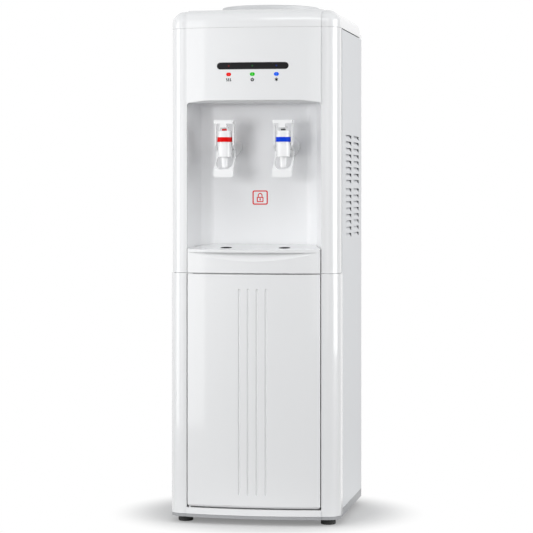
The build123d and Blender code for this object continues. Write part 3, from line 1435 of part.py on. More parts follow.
def tap_body(x):
    """Barrel, nozzle, stub, wall flange and spigot of one tap."""
    with BuildPart() as body:
        with BuildSketch(Plane(origin=(x, tap_y, 0), x_dir=(1, 0, 0), z_dir=(0, -1, 0))):
            with BuildLine():
                Polyline((0, barrel_top), (barrel_radius, barrel_top), (barrel_radius, barrel_bottom),
                         (nozzle_top_radius, barrel_bottom), (nozzle_tip_radius, nozzle_tip), (0, nozzle_tip),
                         close=True)
            make_face()
        revolve(axis=Axis((x, tap_y, 0), (0, 0, 1)))
        rims = body.edges().filter_by(GeomType.CIRCLE)
        fillet([e for e in rims if e.center().Z < barrel_top - seat_gap], tap_edge)
        with BuildSketch(Plane.XZ.offset(-wall_y)):
            with Locations((x, tap_height)):
                Circle(stub_radius)
        extrude(amount=tap_reach)
        with BuildSketch(Plane.XZ.offset(-wall_y)):
            with Locations((x, tap_height)):
                Circle(tap_flange_radius)
        extrude(amount=tap_flange_thickness)
        fillet(body.edges().filter_by(GeomType.CIRCLE).filter_by(
            lambda e: e.radius > barrel_radius + bonnet_height / 2).group_by(Axis.Y)[0], tap_edge)
        with BuildSketch(Plane.XZ.offset(-wall_y)):
            with Locations((x, tap_height)):
                Circle(spigot_radius)
        extrude(amount=-spigot_length)
        add(ring(x, tap_y, seat_height, barrel_top - seat_height, barrel_bore, 0), mode=Mode.SUBTRACT)
        add(ring(x, tap_y, nozzle_tip, seat_height - nozzle_tip, nozzle_bore, 0), mode=Mode.SUBTRACT)
        with BuildSketch(Plane.XZ.offset(-wall_y - spigot_length)):
            with Locations((x, tap_height)):
                Circle(hose_bore)
        extrude(amount=spigot_length + tap_reach, mode=Mode.SUBTRACT)
    return body.part


def tap_lever(x):
    """Lever of one tap: a cross bar on top, two cheeks beside the barrel and a lip below the nozzle."""
    front = tap_y - lever_front
    arm_front = tap_y - lever_arm_half_depth
    arm_back = tap_y + lever_arm_half_depth
    heel_back = arm_back + lever_heel
    heel_front = heel_back - lever_heel_depth
    heel_top = lever_knee - lever_knee_drop
    lip_front = front + lever_lip / 2
    lip_top = lever_bottom + lever_lip_height
    bar_back = front + lever_bar_depth
    inner_half = lever_half_width - lever_cheek
    with BuildPart() as lever:
        with BuildSketch(Plane.YZ.offset(x - lever_half_width)):
            with BuildLine():
                Polyline((arm_front, lever_top), (arm_back, lever_top), (arm_back, lever_knee),
                         (heel_back, heel_top), (heel_back, lever_heel_low),
                         (lip_front + lever_lip_root, lip_top), (lip_front + lever_lip, lever_bottom),
                         (lip_front, lever_bottom), (lip_front, lip_top), (heel_front, lever_heel_low),
                         (heel_front, heel_top), (arm_front, lever_knee), close=True)
            make_face()
            fillet([v for v in vertices() if lever_bottom + seat_gap < v.Y < lever_top - seat_gap],
                   lever_corner / 2)
        extrude(amount=2 * lever_half_width)
        with BuildSketch(Plane.XZ.offset(-front + overrun)):
            with BuildLine():
                Polyline((x - lever_half_width, lever_bottom), (x + lever_half_width, lever_bottom),
                         (x + lever_half_width, lever_top), (x - lever_half_width, lever_top), close=True)
            make_face()
            fillet([v for v in vertices() if v.Y < lever_bottom + seat_gap], lever_lip_corner)
        extrude(amount=-4 * overrun, mode=Mode.INTERSECT)
        with BuildSketch(Plane.YZ.offset(x)):
            with Locations((front, lever_top - lever_bar_height)):
                Rectangle(lever_bar_depth, lever_bar_height, align=(Align.MIN, Align.MIN))
            with Locations((front, lever_top - lever_roof)):
                Rectangle(arm_back - front, lever_roof, align=(Align.MIN, Align.MIN))
        extrude(amount=lever_half_width, both=True)
        fillet(lever.edges().filter_by(Axis.Z).group_by(Axis.Y)[0], lever_corner)
        with BuildSketch(Plane.XY.offset(lever_bottom - overrun)):
            with Locations((x, lip_front + lever_lip)):
                Rectangle(2 * inner_half, 2 * overrun, align=(Align.CENTER, Align.MIN))
            fillet(vertices().group_by(Axis.Y)[0], lever_tub_corner)
        extrude(amount=lip_top - lever_bottom + overrun, mode=Mode.SUBTRACT)
        with BuildSketch(Plane.XZ.offset(-front + overrun)):
            with Locations((x, lip_top)):
                Rectangle(2 * inner_half, lever_top - lever_bar_height - lip_top,
                          align=(Align.CENTER, Align.MIN))
            fillet(vertices().group_by(Axis.Y)[0], lever_window_corner)
        extrude(amount=-4 * overrun, mode=Mode.SUBTRACT)
        with BuildSketch(Plane.YZ.offset(x)):
            with Locations((bar_back, lever_knee)):
                Rectangle(overrun, lever_top - lever_roof - lever_knee, align=(Align.MIN, Align.MIN))
        extrude(amount=inner_half, both=True, mode=Mode.SUBTRACT)
        with BuildSketch(Plane.YZ.offset(x)):
            with Locations((heel_back, lever_heel_low + lever_corner / 2)):
                Rectangle(lever_plate, lever_plate_height, align=(Align.MAX, Align.MIN))
        extrude(amount=lever_half_width - lever_cheek / 2, both=True)
        with BuildSketch(Plane.YZ.offset(x)):
            with Locations((front, fork_top - lever_fork / 2)):
                Rectangle(pivot_y - front, lever_top - lever_bar_height - fork_top + lever_fork,
                          align=(Align.MIN, Align.MIN))
            with Locations((pivot_y, pivot_height)):
                Circle(pivot_knuckle_radius)
            with Locations((pivot_y, lever_fork_bottom)):
                Rectangle(lever_fork_back + pivot_front, lever_fork, align=(Align.MIN, Align.MIN))
        extrude(amount=lever_tab_half_width, both=True)
        slot_half = stem_radius + lever_fork_slot_gap
        with BuildSketch(Plane.XY.offset(lever_fork_bottom - overrun)):
            with Locations((x, tap_y - slot_half - 2 * lever_fork_slot_gap)):
                Rectangle(2 * slot_half, overrun, align=(Align.CENTER, Align.MIN))
        extrude(amount=overrun + lever_fork + seat_gap, mode=Mode.SUBTRACT)
        with BuildSketch(Plane.YZ.offset(x)):
            with Locations((pivot_y, pivot_height)):
                Circle(pivot_pin_radius)
        extrude(amount=lever_tab_half_width + seat_gap + pivot_post, both=True)
    return lever.part


def bonnet(x):
    """Cap of one tap, hollow for the spring, with two posts for the lever's pin."""
    with BuildPart() as cap:
        add(ring(x, tap_y, barrel_top, bonnet_height, bonnet_radius, 0))
        fillet(cap.edges().group_by(Axis.Z)[-1], tap_edge)
        for side in (-1, 1):
            post_x = x + side * (lever_tab_half_width + seat_gap + pivot_post / 2)
            with BuildSketch(Plane.YZ.offset(post_x)):
                with Locations((pivot_y, bonnet_top - tap_edge)):
                    Rectangle(2 * pivot_knuckle_radius, pivot_height - bonnet_top + tap_edge,
                              align=(Align.CENTER, Align.MIN))
                with Locations((pivot_y, pivot_height)):
                    Circle(pivot_knuckle_radius)
                    Circle(pivot_pin_radius + fit_gap, mode=Mode.SUBTRACT)
            extrude(amount=pivot_post / 2, both=True)
        add(ring(x, tap_y, barrel_top, spring_room, barrel_bore, 0), mode=Mode.SUBTRACT)
        add(ring(x, tap_y, barrel_top, bonnet_height, stem_radius + stem_gap, 0), mode=Mode.SUBTRACT)
        groove_z = barrel_top + bonnet_height / 2
        add(ring(x, tap_y, groove_z, bonnet_groove, bonnet_radius + bonnet_groove,
                 bonnet_radius - bonnet_groove), mode=Mode.SUBTRACT)
    return cap.part


def tap_stem(x):
    """Plunger, rod and head of one tap."""
    with BuildPart() as stem:
        add(ring(x, tap_y, stem_bottom, plunger_height, plunger_radius, 0))
        add(ring(x, tap_y, stem_bottom, head_bottom_z - stem_bottom + stem_head_height, stem_radius, 0))
        add(ring(x, tap_y, head_bottom_z, stem_head_height, stem_head_radius, 0))
        fillet(stem.edges().group_by(Axis.Z)[-1], tap_edge)
    return stem.part


spring_height = spring_top - spring_bottom - 2 * spring_end_gap - 2 * spring_wire
for side, label in ((-1, "hot"), (1, "cold")):
    tap_x = side * tap_half_spacing
    pieces = (
        (f"{label}_tap_body", tap_body(tap_x)),
        (f"{label}_tap_band", ring(tap_x, tap_y, band_bottom, barrel_top - band_bottom, band_radius,
                                   barrel_radius + fit_gap)),
        (f"{label}_tap_lever", tap_lever(tap_x)),
        (f"{label}_tap_stem", tap_stem(tap_x)),
        (f"{label}_tap_spring", Pos(tap_x, tap_y, spring_bottom + spring_end_gap + spring_wire)
         * coil(spring_radius, spring_pitch, spring_height, spring_wire, False)),
    )
    for name, piece in pieces:
        piece.label = name
        export_step(piece, f"parts/{name}.step")

# Caps of both taps, and the nuts that hold the taps to the alcove's wall
with BuildPart() as tap_bonnets:
    add(bonnet(-tap_half_spacing))
    add(bonnet(tap_half_spacing))
tap_bonnets.part.label = "tap_bonnets"
export_step(tap_bonnets.part, "parts/tap_bonnets.step")

with BuildPart() as tap_nuts:
    with BuildSketch(Plane.XZ.offset(-(wall_y + moulding_wall))):
        with Locations((0, tap_height)):
            with GridLocations(2 * tap_half_spacing, 0, 2, 1):
                RegularPolygon(tap_nut_radius, 6)
                Circle(spigot_radius + fit_gap, mode=Mode.SUBTRACT)
    extrude(amount=-tap_nut_thickness)
tap_nuts.part.label = "tap_nuts"
export_step(tap_nuts.part, "parts/tap_nuts.step")

# Child lock under the hot lever, a slide round the stem, and the plain collar under the cold lever
latch_bottom = bonnet_top + seat_gap
stem_slot = stem_radius + lever_fork_slot_gap
with BuildPart() as hot_tap_latch:
    with BuildSketch(Plane.XY.offset(latch_bottom)):
        with Locations((-tap_half_spacing, tap_y - latch_front)):
            Rectangle(2 * latch_half_width, latch_front + latch_half_width,
                      align=(Align.CENTER, Align.MIN))
        fillet(vertices(), latch_corner)
        with Locations((-tap_half_spacing, tap_y - latch_travel / 2)):
            SlotOverall(2 * stem_slot + latch_travel, 2 * stem_slot, rotation=90, mode=Mode.SUBTRACT)
    extrude(amount=latch_height)
hot_tap_latch.part.label = "hot_tap_latch"
export_step(hot_tap_latch.part, "parts/hot_tap_latch.step")

with BuildPart() as cold_tap_collar:
    add(ring(tap_half_spacing, tap_y, bonnet_top, latch_height, latch_half_width, stem_slot))
cold_tap_collar.part.label = "cold_tap_collar"
export_step(cold_tap_collar.part, "parts/cold_tap_collar.step")
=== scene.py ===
import json
from math import cos, pi, radians, sin, sqrt

import bmesh
import bpy
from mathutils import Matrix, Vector


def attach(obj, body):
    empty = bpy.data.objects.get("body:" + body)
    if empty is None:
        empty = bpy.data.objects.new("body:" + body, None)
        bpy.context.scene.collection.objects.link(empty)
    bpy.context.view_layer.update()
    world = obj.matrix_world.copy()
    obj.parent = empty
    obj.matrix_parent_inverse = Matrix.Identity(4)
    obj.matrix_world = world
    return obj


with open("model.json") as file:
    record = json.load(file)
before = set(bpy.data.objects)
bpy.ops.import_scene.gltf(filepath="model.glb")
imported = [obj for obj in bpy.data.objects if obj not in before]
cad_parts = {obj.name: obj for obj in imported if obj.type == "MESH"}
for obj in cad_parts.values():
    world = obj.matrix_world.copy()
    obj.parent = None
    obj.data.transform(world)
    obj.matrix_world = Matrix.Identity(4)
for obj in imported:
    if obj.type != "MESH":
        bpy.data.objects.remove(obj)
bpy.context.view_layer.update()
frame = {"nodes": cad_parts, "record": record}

MM = 0.001

# Places that repeat the model's own sizes, in millimetres
FRONT_Y = -165.0
BOW_HALF = 123.0
BOW_SAGITTA = 11.0
BOW_RADIUS = (BOW_HALF ** 2 + BOW_SAGITTA ** 2) / (2 * BOW_SAGITTA)
WALL_Y = -84.0
LENS_PITCH = 43.6
LENS_Z = 812.0

# Depth of a fine surface grain, reach of the bright middle of a lens, and thickness of a print
GRAIN_DEPTH = 0.0001
LENS_GLOW_REACH = 0.0040
INK_THICKNESS = 0.08


def bow_y(x):
    """Front face of the bowed middle at a distance x from the centre, in millimetres."""
    return FRONT_Y + BOW_RADIUS - sqrt(BOW_RADIUS ** 2 - x ** 2)


# Materials
def new_material(name):
    """Empty node material with a shader and an output, and its node tree."""
    material = bpy.data.materials.new(name)
    material.use_nodes = True
    tree = material.node_tree
    tree.nodes.clear()
    output = tree.nodes.new("ShaderNodeOutputMaterial")
    shader = tree.nodes.new("ShaderNodeBsdfPrincipled")
    tree.links.new(shader.outputs["BSDF"], output.inputs["Surface"])
    return material, tree, shader


def object_coordinates(tree, scale=(1.0, 1.0, 1.0)):
    """Object coordinates, stretched by a scale along each axis."""
    coordinates = tree.nodes.new("ShaderNodeTexCoord")
    mapping = tree.nodes.new("ShaderNodeMapping")
    mapping.inputs["Scale"].default_value = scale
    tree.links.new(coordinates.outputs["Object"], mapping.inputs["Vector"])
    return mapping.outputs["Vector"]


def noise(tree, vector, scale, detail=4.0, roughness=0.55):
    """Noise texture at a scale in waves per metre."""
    texture = tree.nodes.new("ShaderNodeTexNoise")
    texture.inputs["Scale"].default_value = scale
    texture.inputs["Detail"].default_value = detail
    texture.inputs["Roughness"].default_value = roughness
    tree.links.new(vector, texture.inputs["Vector"])
    return texture.outputs["Fac"]


def ramp(tree, factor, low, high, start=0.3, end=0.7):
    """Colour ramp between two colours."""
    node = tree.nodes.new("ShaderNodeValToRGB")
    node.color_ramp.elements[0].position = start
    node.color_ramp.elements[0].color = (*low, 1.0)
    node.color_ramp.elements[1].position = end
    node.color_ramp.elements[1].color = (*high, 1.0)
    tree.links.new(factor, node.inputs["Fac"])
    return node.outputs["Color"]


def spread(tree, factor, low, high):
    """Maps a factor from 0 to 1 onto a range."""
    node = tree.nodes.new("ShaderNodeMapRange")
    node.inputs["To Min"].default_value = low
    node.inputs["To Max"].default_value = high
    tree.links.new(factor, node.inputs["Value"])
    return node.outputs["Result"]


def add_bump(tree, shader, height, strength, distance, edge=0.0):
    """Bump from a height, over edges softened by a small radius."""
    bump = tree.nodes.new("ShaderNodeBump")
    bump.inputs["Strength"].default_value = strength
    bump.inputs["Distance"].default_value = distance
    tree.links.new(height, bump.inputs["Height"])
    if edge:
        bevel = tree.nodes.new("ShaderNodeBevel")
        bevel.samples = 6
        bevel.inputs["Radius"].default_value = edge
        tree.links.new(bevel.outputs["Normal"], bump.inputs["Normal"])
    tree.links.new(bump.outputs["Normal"], shader.inputs["Normal"])


def tinted(color, amount):
    """A colour made lighter or darker by an amount."""
    return tuple(min(1.0, max(0.0, channel * (1.0 + amount))) for channel in color)


def plastic(name, color, roughness=0.25, coat=0.0, grain=900.0, bump=0.03, edge=0.0, vary=0.004,
            shine=0.5):
    """Moulded plastic: faint flow marks in the colour, a fine skin texture and slightly uneven gloss."""
    material, tree, shader = new_material(name)
    vector = object_coordinates(tree)
    flow = noise(tree, vector, 5.0, 3.0)
    tree.links.new(ramp(tree, flow, tinted(color, -vary), tinted(color, vary)), shader.inputs["Base Color"])
    skin = noise(tree, vector, grain, 2.0)
    mottle = noise(tree, vector, 40.0, 3.0)
    tree.links.new(spread(tree, mottle, roughness * 0.95, roughness * 1.05), shader.inputs["Roughness"])
    shader.inputs["Specular IOR Level"].default_value = shine
    shader.inputs["Coat Weight"].default_value = coat
    shader.inputs["Coat Roughness"].default_value = 0.05
    add_bump(tree, shader, skin, bump, GRAIN_DEPTH, edge)
    return material


def painted_sheet(name, color, roughness=0.38):
    """Powder painted steel sheet: fine orange peel and a slight cloudiness."""
    material, tree, shader = new_material(name)
    vector = object_coordinates(tree)
    cloud = noise(tree, vector, 9.0, 4.0)
    tree.links.new(ramp(tree, cloud, tinted(color, -0.005), tinted(color, 0.005)), shader.inputs["Base Color"])
    peel = noise(tree, vector, 650.0, 3.0)
    tree.links.new(spread(tree, noise(tree, vector, 70.0), roughness * 0.93, roughness * 1.07),
                   shader.inputs["Roughness"])
    add_bump(tree, shader, peel, 0.06, GRAIN_DEPTH)
    return material


def brushed_metal(name, color, roughness=0.3, along=(1.0, 1.0, 40.0)):
    """Metal with fine lines drawn along one axis."""
    material, tree, shader = new_material(name)
    vector = object_coordinates(tree, along)
    lines = noise(tree, vector, 60.0, 6.0, 0.7)
    tree.links.new(ramp(tree, lines, tinted(color, -0.12), tinted(color, 0.08)), shader.inputs["Base Color"])
    tree.links.new(spread(tree, lines, roughness * 0.7, roughness * 1.3), shader.inputs["Roughness"])
    shader.inputs["Metallic"].default_value = 1.0
    add_bump(tree, shader, lines, 0.15, 0.00008, 0.0002)
    return material


def spangled_zinc(name, color):
    """Galvanised sheet with the crystals of its zinc."""
    material, tree, shader = new_material(name)
    vector = object_coordinates(tree)
    cells = tree.nodes.new("ShaderNodeTexVoronoi")
    cells.inputs["Scale"].default_value = 110.0
    tree.links.new(vector, cells.inputs["Vector"])
    split = tree.nodes.new("ShaderNodeSeparateColor")
    tree.links.new(cells.outputs["Color"], split.inputs["Color"])
    tree.links.new(ramp(tree, split.outputs["Red"], tinted(color, -0.12), tinted(color, 0.10), 0.0, 1.0),
                   shader.inputs["Base Color"])
    tree.links.new(spread(tree, split.outputs["Green"], 0.32, 0.5), shader.inputs["Roughness"])
    shader.inputs["Metallic"].default_value = 0.75
    add_bump(tree, shader, noise(tree, vector, 500.0), 0.08, GRAIN_DEPTH, 0.0004)
    return material


def foam_plastic(name, color):
    """Cut expanded foam: small closed beads."""
    material, tree, shader = new_material(name)
    vector = object_coordinates(tree)
    beads = tree.nodes.new("ShaderNodeTexVoronoi")
    beads.inputs["Scale"].default_value = 320.0
    tree.links.new(vector, beads.inputs["Vector"])
    tree.links.new(ramp(tree, beads.outputs["Distance"], tinted(color, 0.05), tinted(color, -0.18), 0.2, 0.9),
                   shader.inputs["Base Color"])
    tree.links.new(spread(tree, noise(tree, vector, 80.0), 0.75, 0.95), shader.inputs["Roughness"])
    add_bump(tree, shader, beads.outputs["Distance"], 0.35, 0.0006)
    return material


def rubber(name, color):
    """Moulded rubber with a dusty bloom."""
    material, tree, shader = new_material(name)
    vector = object_coordinates(tree)
    bloom = noise(tree, vector, 60.0, 5.0)
    tree.links.new(ramp(tree, bloom, color, tinted(color, 0.8)), shader.inputs["Base Color"])
    tree.links.new(spread(tree, bloom, 0.55, 0.8), shader.inputs["Roughness"])
    add_bump(tree, shader, noise(tree, vector, 900.0), 0.2, GRAIN_DEPTH, 0.0004)
    return material


def lens(name, color, core, place):
    """Small lens lit from behind, at a place from -1 to 1 in its row: paler and brighter in the middle."""
    material, tree, shader = new_material(name)
    vector = object_coordinates(tree)
    away = tree.nodes.new("ShaderNodeVectorMath")
    away.operation = "DISTANCE"
    away.inputs[1].default_value = (place * LENS_PITCH * MM, FRONT_Y * MM, LENS_Z * MM)
    tree.links.new(vector, away.inputs[0])
    near = tree.nodes.new("ShaderNodeMapRange")
    near.inputs["From Max"].default_value = LENS_GLOW_REACH
    tree.links.new(away.outputs["Value"], near.inputs["Value"])
    shade = ramp(tree, near.outputs["Result"], core, color, 0.05, 0.55)
    tree.links.new(shade, shader.inputs["Base Color"])
    tree.links.new(shade, shader.inputs["Emission Color"])
    shader.inputs["Emission Strength"].default_value = 0.12
    shader.inputs["Specular IOR Level"].default_value = 0.2
    tree.links.new(spread(tree, noise(tree, vector, 200.0), 0.16, 0.24), shader.inputs["Roughness"])
    return material


WHITE = (0.755, 0.760, 0.767)
materials = {
    "white_plastic": plastic("white_gloss", WHITE, 0.3, 1.0),
    "liner_plastic": plastic("white_satin", (0.775, 0.78, 0.79), 0.42),
    "ring_plastic": plastic("ring_satin", (0.60, 0.607, 0.615), 0.45),
    "tap_plastic": plastic("tap_gloss", (0.84, 0.845, 0.85), 0.2, 0.4, edge=0.0003),
    "silver_paint": painted_sheet("silver_paint", (0.66, 0.672, 0.69)),
    "grey_plastic": plastic("grey_satin", (0.33, 0.335, 0.345), 0.4),
    "black_rubber": rubber("black_rubber", (0.018, 0.018, 0.018)),
    "black_plastic": plastic("black_satin", (0.022, 0.022, 0.023), 0.4, vary=0.2),
    "window_plastic": plastic("window_gloss", (0.004, 0.004, 0.005), 0.32, bump=0.01, vary=0.2, shine=0.22),
    "red_lens": lens("red_lens", (0.68, 0.002, 0.002), (0.90, 0.10, 0.08), -1),
    "green_lens": lens("green_lens", (0.008, 0.44, 0.006), (0.16, 0.75, 0.12), 0),
    "blue_lens": lens("blue_lens", (0.002, 0.09, 0.78), (0.10, 0.36, 0.90), 1),
    "red_plastic": plastic("red_gloss", (0.72, 0.003, 0.003), 0.36, edge=0.0004, vary=0.03, shine=0.08),
    "blue_plastic": plastic("blue_gloss", (0.002, 0.050, 0.64), 0.36, edge=0.0004, vary=0.03, shine=0.08),
    "green_plastic": plastic("green_gloss", (0.03, 0.32, 0.07), 0.25, 0.4, edge=0.0004, vary=0.05),
    "board_laminate": plastic("board_green", (0.02, 0.14, 0.05), 0.35, vary=0.1),
    "zinc_sheet": spangled_zinc("zinc_sheet", (0.50, 0.52, 0.53)),
    "plated_steel": brushed_metal("plated_steel", (0.62, 0.62, 0.63), 0.28),
    "stainless_steel": brushed_metal("stainless_steel", (0.60, 0.60, 0.60), 0.3, (60.0, 60.0, 1.0)),
    "black_paint": painted_sheet("black_paint", (0.012, 0.012, 0.013), 0.35),
    "copper_tube": brushed_metal("copper_tube", (0.72, 0.33, 0.19), 0.3),
    "foam": foam_plastic("cream_foam", (0.68, 0.62, 0.48)),
    "silicone_hose": plastic("silicone", (0.70, 0.71, 0.71), 0.35, 0.1, grain=500.0),
}
ink = plastic("printed_ink", (0.006, 0.006, 0.007), 0.5, vary=0.1, shine=0.1)
red_ink = plastic("red_ink", (0.66, 0.004, 0.004), 0.45, vary=0.03, shine=0.1)
lamp_red = plastic("lamp_red", (0.16, 0.006, 0.006), 0.4, vary=0.1, shine=0.2)
lamp_green = plastic("lamp_green", (0.008, 0.09, 0.02), 0.4, vary=0.1, shine=0.2)
lamp_blue = plastic("lamp_blue", (0.008, 0.02, 0.16), 0.4, vary=0.1, shine=0.2)

slot_of = {row["node"]: row["material_slot"] for row in frame["record"]["subparts"]}
for node, thing in frame["nodes"].items():
    for place in thing.material_slots:
        place.material = materials[slot_of[node]]
    if not thing.material_slots:
        thing.data.materials.append(materials[slot_of[node]])


# Small pieces in mesh code
def mesh_object(name, vertices, faces, material, body):
    """Mesh piece in millimetres that rides on a body."""
    mesh = bpy.data.meshes.new(name)
    mesh.from_pydata([tuple(c * MM for c in v) for v in vertices], [], faces)
    work = bmesh.new()
    work.from_mesh(mesh)
    bmesh.ops.recalc_face_normals(work, faces=work.faces)
    work.to_mesh(mesh)
    work.free()
    thing = bpy.data.objects.new(name, mesh)
    bpy.context.scene.collection.objects.link(thing)
    mesh.materials.append(material)
    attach(thing, body)
    return thing


def plate_from_outline(outline, holes, surface):
    """Thin plate on a surface: outline and holes are lists of (x, z), surface gives y at (x, z)."""
    work = bmesh.new()
    edges = []
    for loop in [outline] + holes:
        ring = [work.verts.new((x, 0.0, z)) for x, z in loop]
        edges += [work.edges.new((ring[i], ring[(i + 1) % len(ring)])) for i in range(len(ring))]
    bmesh.ops.triangle_fill(work, use_beauty=True, use_dissolve=False, edges=edges)
    front = list(work.faces)
    grown = bmesh.ops.extrude_face_region(work, geom=front)
    moved = {v for v in grown["geom"] if isinstance(v, bmesh.types.BMVert)}
    for vertex in work.verts:
        depth = INK_THICKNESS if vertex in moved else 0.0
        vertex.co.y = surface(vertex.co.x, vertex.co.z) - depth
    bmesh.ops.recalc_face_normals(work, faces=work.faces)
    work.verts.index_update()
    vertices = [tuple(v.co) for v in work.verts]
    faces = [[v.index for v in f.verts] for f in work.faces]
    work.free()
    return vertices, faces


def circle(x, z, radius, count=40, start=0.0, sweep=360.0):
    """Points on a circle or an arc."""
    last = count if sweep < 360.0 else count - 1
    angles = [radians(start + sweep * i / count) for i in range(last + 1)]
    return [(x + radius * cos(angle), z + radius * sin(angle)) for angle in angles]


def rounded_box(x, z, width, height, corner, count=8):
    """Outline of a rectangle with round corners."""
    points = []
    for sx, sz, start in ((1, 1, 0.0), (-1, 1, 90.0), (-1, -1, 180.0), (1, -1, 270.0)):
        cx = x + sx * (width / 2 - corner)
        cz = z + sz * (height / 2 - corner)
        points += [(cx + corner * cos(radians(start + 90.0 * i / count)),
                    cz + corner * sin(radians(start + 90.0 * i / count))) for i in range(count + 1)]
    return points


def bar(x0, z0, x1, z1, width):
    """Outline of a straight bar between two points."""
    dx = x1 - x0
    dz = z1 - z0
    length = sqrt(dx * dx + dz * dz)
    nx = -dz / length * width / 2
    nz = dx / length * width / 2
    return [(x0 + nx, z0 + nz), (x0 - nx, z0 - nz), (x1 - nx, z1 - nz), (x1 + nx, z1 + nz)]


def print_mark(name, shapes, surface, material):
    """Mark printed on the cabinet, made of one or more outlines, each with its holes."""
    vertices = []
    faces = []
    for outline, holes in shapes:
        piece_vertices, piece_faces = plate_from_outline(outline, holes, surface)
        faces += [[i + len(vertices) for i in face] for face in piece_faces]
        vertices += piece_vertices
    return mesh_object(name, vertices, faces, material, "cabinet")


def on_fascia(x, z):
    """Front face of the upper front."""
    return bow_y(x)


def on_wall(x, z):
    """Back wall of the alcove."""
    return WALL_Y


WINDOW_RECESS = 0.2
WINDOW_Z = 827.2
WINDOW_LAMP_RADIUS = 1.5


def on_window(x, z):
    """Face of the display window, set back in the upper front."""
    return bow_y(x) + WINDOW_RECESS


# Indicator lamps seen through the display window
window_lamps = ((-1, lamp_red, "red_lens"), (0, lamp_green, "green_lens"), (1, lamp_blue, "blue_lens"))
for place, lamp, slot in window_lamps:
    dot = circle(place * LENS_PITCH, WINDOW_Z, WINDOW_LAMP_RADIUS, 24)
    print_mark(f"window_lamp_{place + 2}", [(dot, [])], on_window, lamp)


# Pictograms under the lenses: waves of heat, a power ring and a snow crystal
LABEL_Z = 802.2
WAVE_HALF = 0.85
WAVE_PITCH = 3.3
WAVE_HEIGHT = 5.8
WAVE_SWING = 0.6
WAVE_STEPS = 12
POWER_OUTER = 3.2
POWER_INNER = 1.45
CRYSTAL_RADIUS = 3.2
CRYSTAL_FORK = 1.7
CRYSTAL_TIP = 1.1
hot_x = -LENS_PITCH
heat = []
for step in (-1, 0, 1):
    wave = []
    for i in range(WAVE_STEPS + 1):
        z = LABEL_Z - WAVE_HEIGHT / 2 + WAVE_HEIGHT * i / WAVE_STEPS
        wave.append((hot_x + step * WAVE_PITCH + WAVE_SWING * sin(2 * pi * i / WAVE_STEPS), z))
    left = [(x - WAVE_HALF, z) for x, z in wave]
    right = [(x + WAVE_HALF, z) for x, z in reversed(wave)]
    heat.append((left + right, []))
print_mark("heat_mark", heat, on_fascia, ink)

ring_outer = circle(0.0, LABEL_Z, POWER_OUTER, 30, 125.0, 290.0)
ring_inner = circle(0.0, LABEL_Z, POWER_INNER, 30, 125.0, 290.0)
power_bar = bar(0.0, LABEL_Z, 0.0, LABEL_Z + 3.5, 1.5)
print_mark("power_mark", [(ring_outer + ring_inner[::-1], []), (power_bar, [])], on_fascia, ink)

snow = []
for turn in range(3):
    angle = radians(30.0 + 60.0 * turn)
    dx = CRYSTAL_RADIUS * cos(angle)
    dz = CRYSTAL_RADIUS * sin(angle)
    snow.append((bar(LENS_PITCH - dx, LABEL_Z - dz, LENS_PITCH + dx, LABEL_Z + dz, 1.15), []))
for turn in range(6):
    angle = radians(30.0 + 60.0 * turn)
    root = (LENS_PITCH + CRYSTAL_FORK * cos(angle), LABEL_Z + CRYSTAL_FORK * sin(angle))
    for side in (-50.0, 50.0):
        fork = angle + radians(side)
        tip = (root[0] + CRYSTAL_TIP * cos(fork), root[1] + CRYSTAL_TIP * sin(fork))
        snow.append((bar(*root, *tip, 0.7), []))
print_mark("cold_mark", snow, on_fascia, ink)

# Sign on the alcove wall: a padlock in a rounded red frame
SIGN_Z = 589.7
SIGN_W = 28.5
SIGN_H = 26.2
frame_outline = rounded_box(0.0, SIGN_Z, SIGN_W, SIGN_H, 3.4)
frame_hole = rounded_box(0.0, SIGN_Z, SIGN_W - 4.4, SIGN_H - 4.4, 1.7)
print_mark("sign_frame", [(frame_outline, [frame_hole])], on_wall, red_ink)
lock_body = rounded_box(0.0, SIGN_Z - 3.6, 12.4, 9.6, 1.4)
lock_body_hole = rounded_box(0.0, SIGN_Z - 3.6, 8.8, 6.0, 0.6)
SHACKLE_FOOT_Z = SIGN_Z + 1.4
SHACKLE_BOW_Z = SIGN_Z + 4.0


def shackle(radius):
    """Line along the shackle: up one leg, over the bow and down the other leg."""
    bow = circle(0.0, SHACKLE_BOW_Z, radius, 24, 0.0, 180.0)
    return [(radius, SHACKLE_FOOT_Z)] + bow + [(-radius, SHACKLE_FOOT_Z)]


key_hole = circle(0.0, SIGN_Z - 2.9, 1.5, 20)
key_slot = bar(0.0, SIGN_Z - 3.6, 0.0, SIGN_Z - 6.2, 1.3)
print_mark("sign_lock", [(lock_body, [lock_body_hole]), (shackle(4.4) + shackle(2.6)[::-1], []),
                         (key_hole, []), (key_slot, [])], on_wall, red_ink)

# Black rings that line the two drain holes so that the holes read dark: painted shade of the holes' insides
DRAIN_X = 53.7
DRAIN_Y = -134.0
SLEEVE_OUTER = 10.95
SLEEVE_INNER = 10.2
SLEEVE_HEIGHT = 3.0
SLEEVE_DROP = 0.15
COVER_FRONT_Z = 495.5
COVER_SLOPE = 9.3 / 81.0


def sleeve_ring(x0, y0, radius, drop, count=48):
    """Ring of points under the sloping cover's upper face."""
    ring = []
    for i in range(count):
        y = y0 + radius * sin(2 * pi * i / count)
        z = COVER_FRONT_Z + COVER_SLOPE * (y - FRONT_Y) - drop
        ring.append((x0 + radius * cos(2 * pi * i / count), y, z))
    return ring


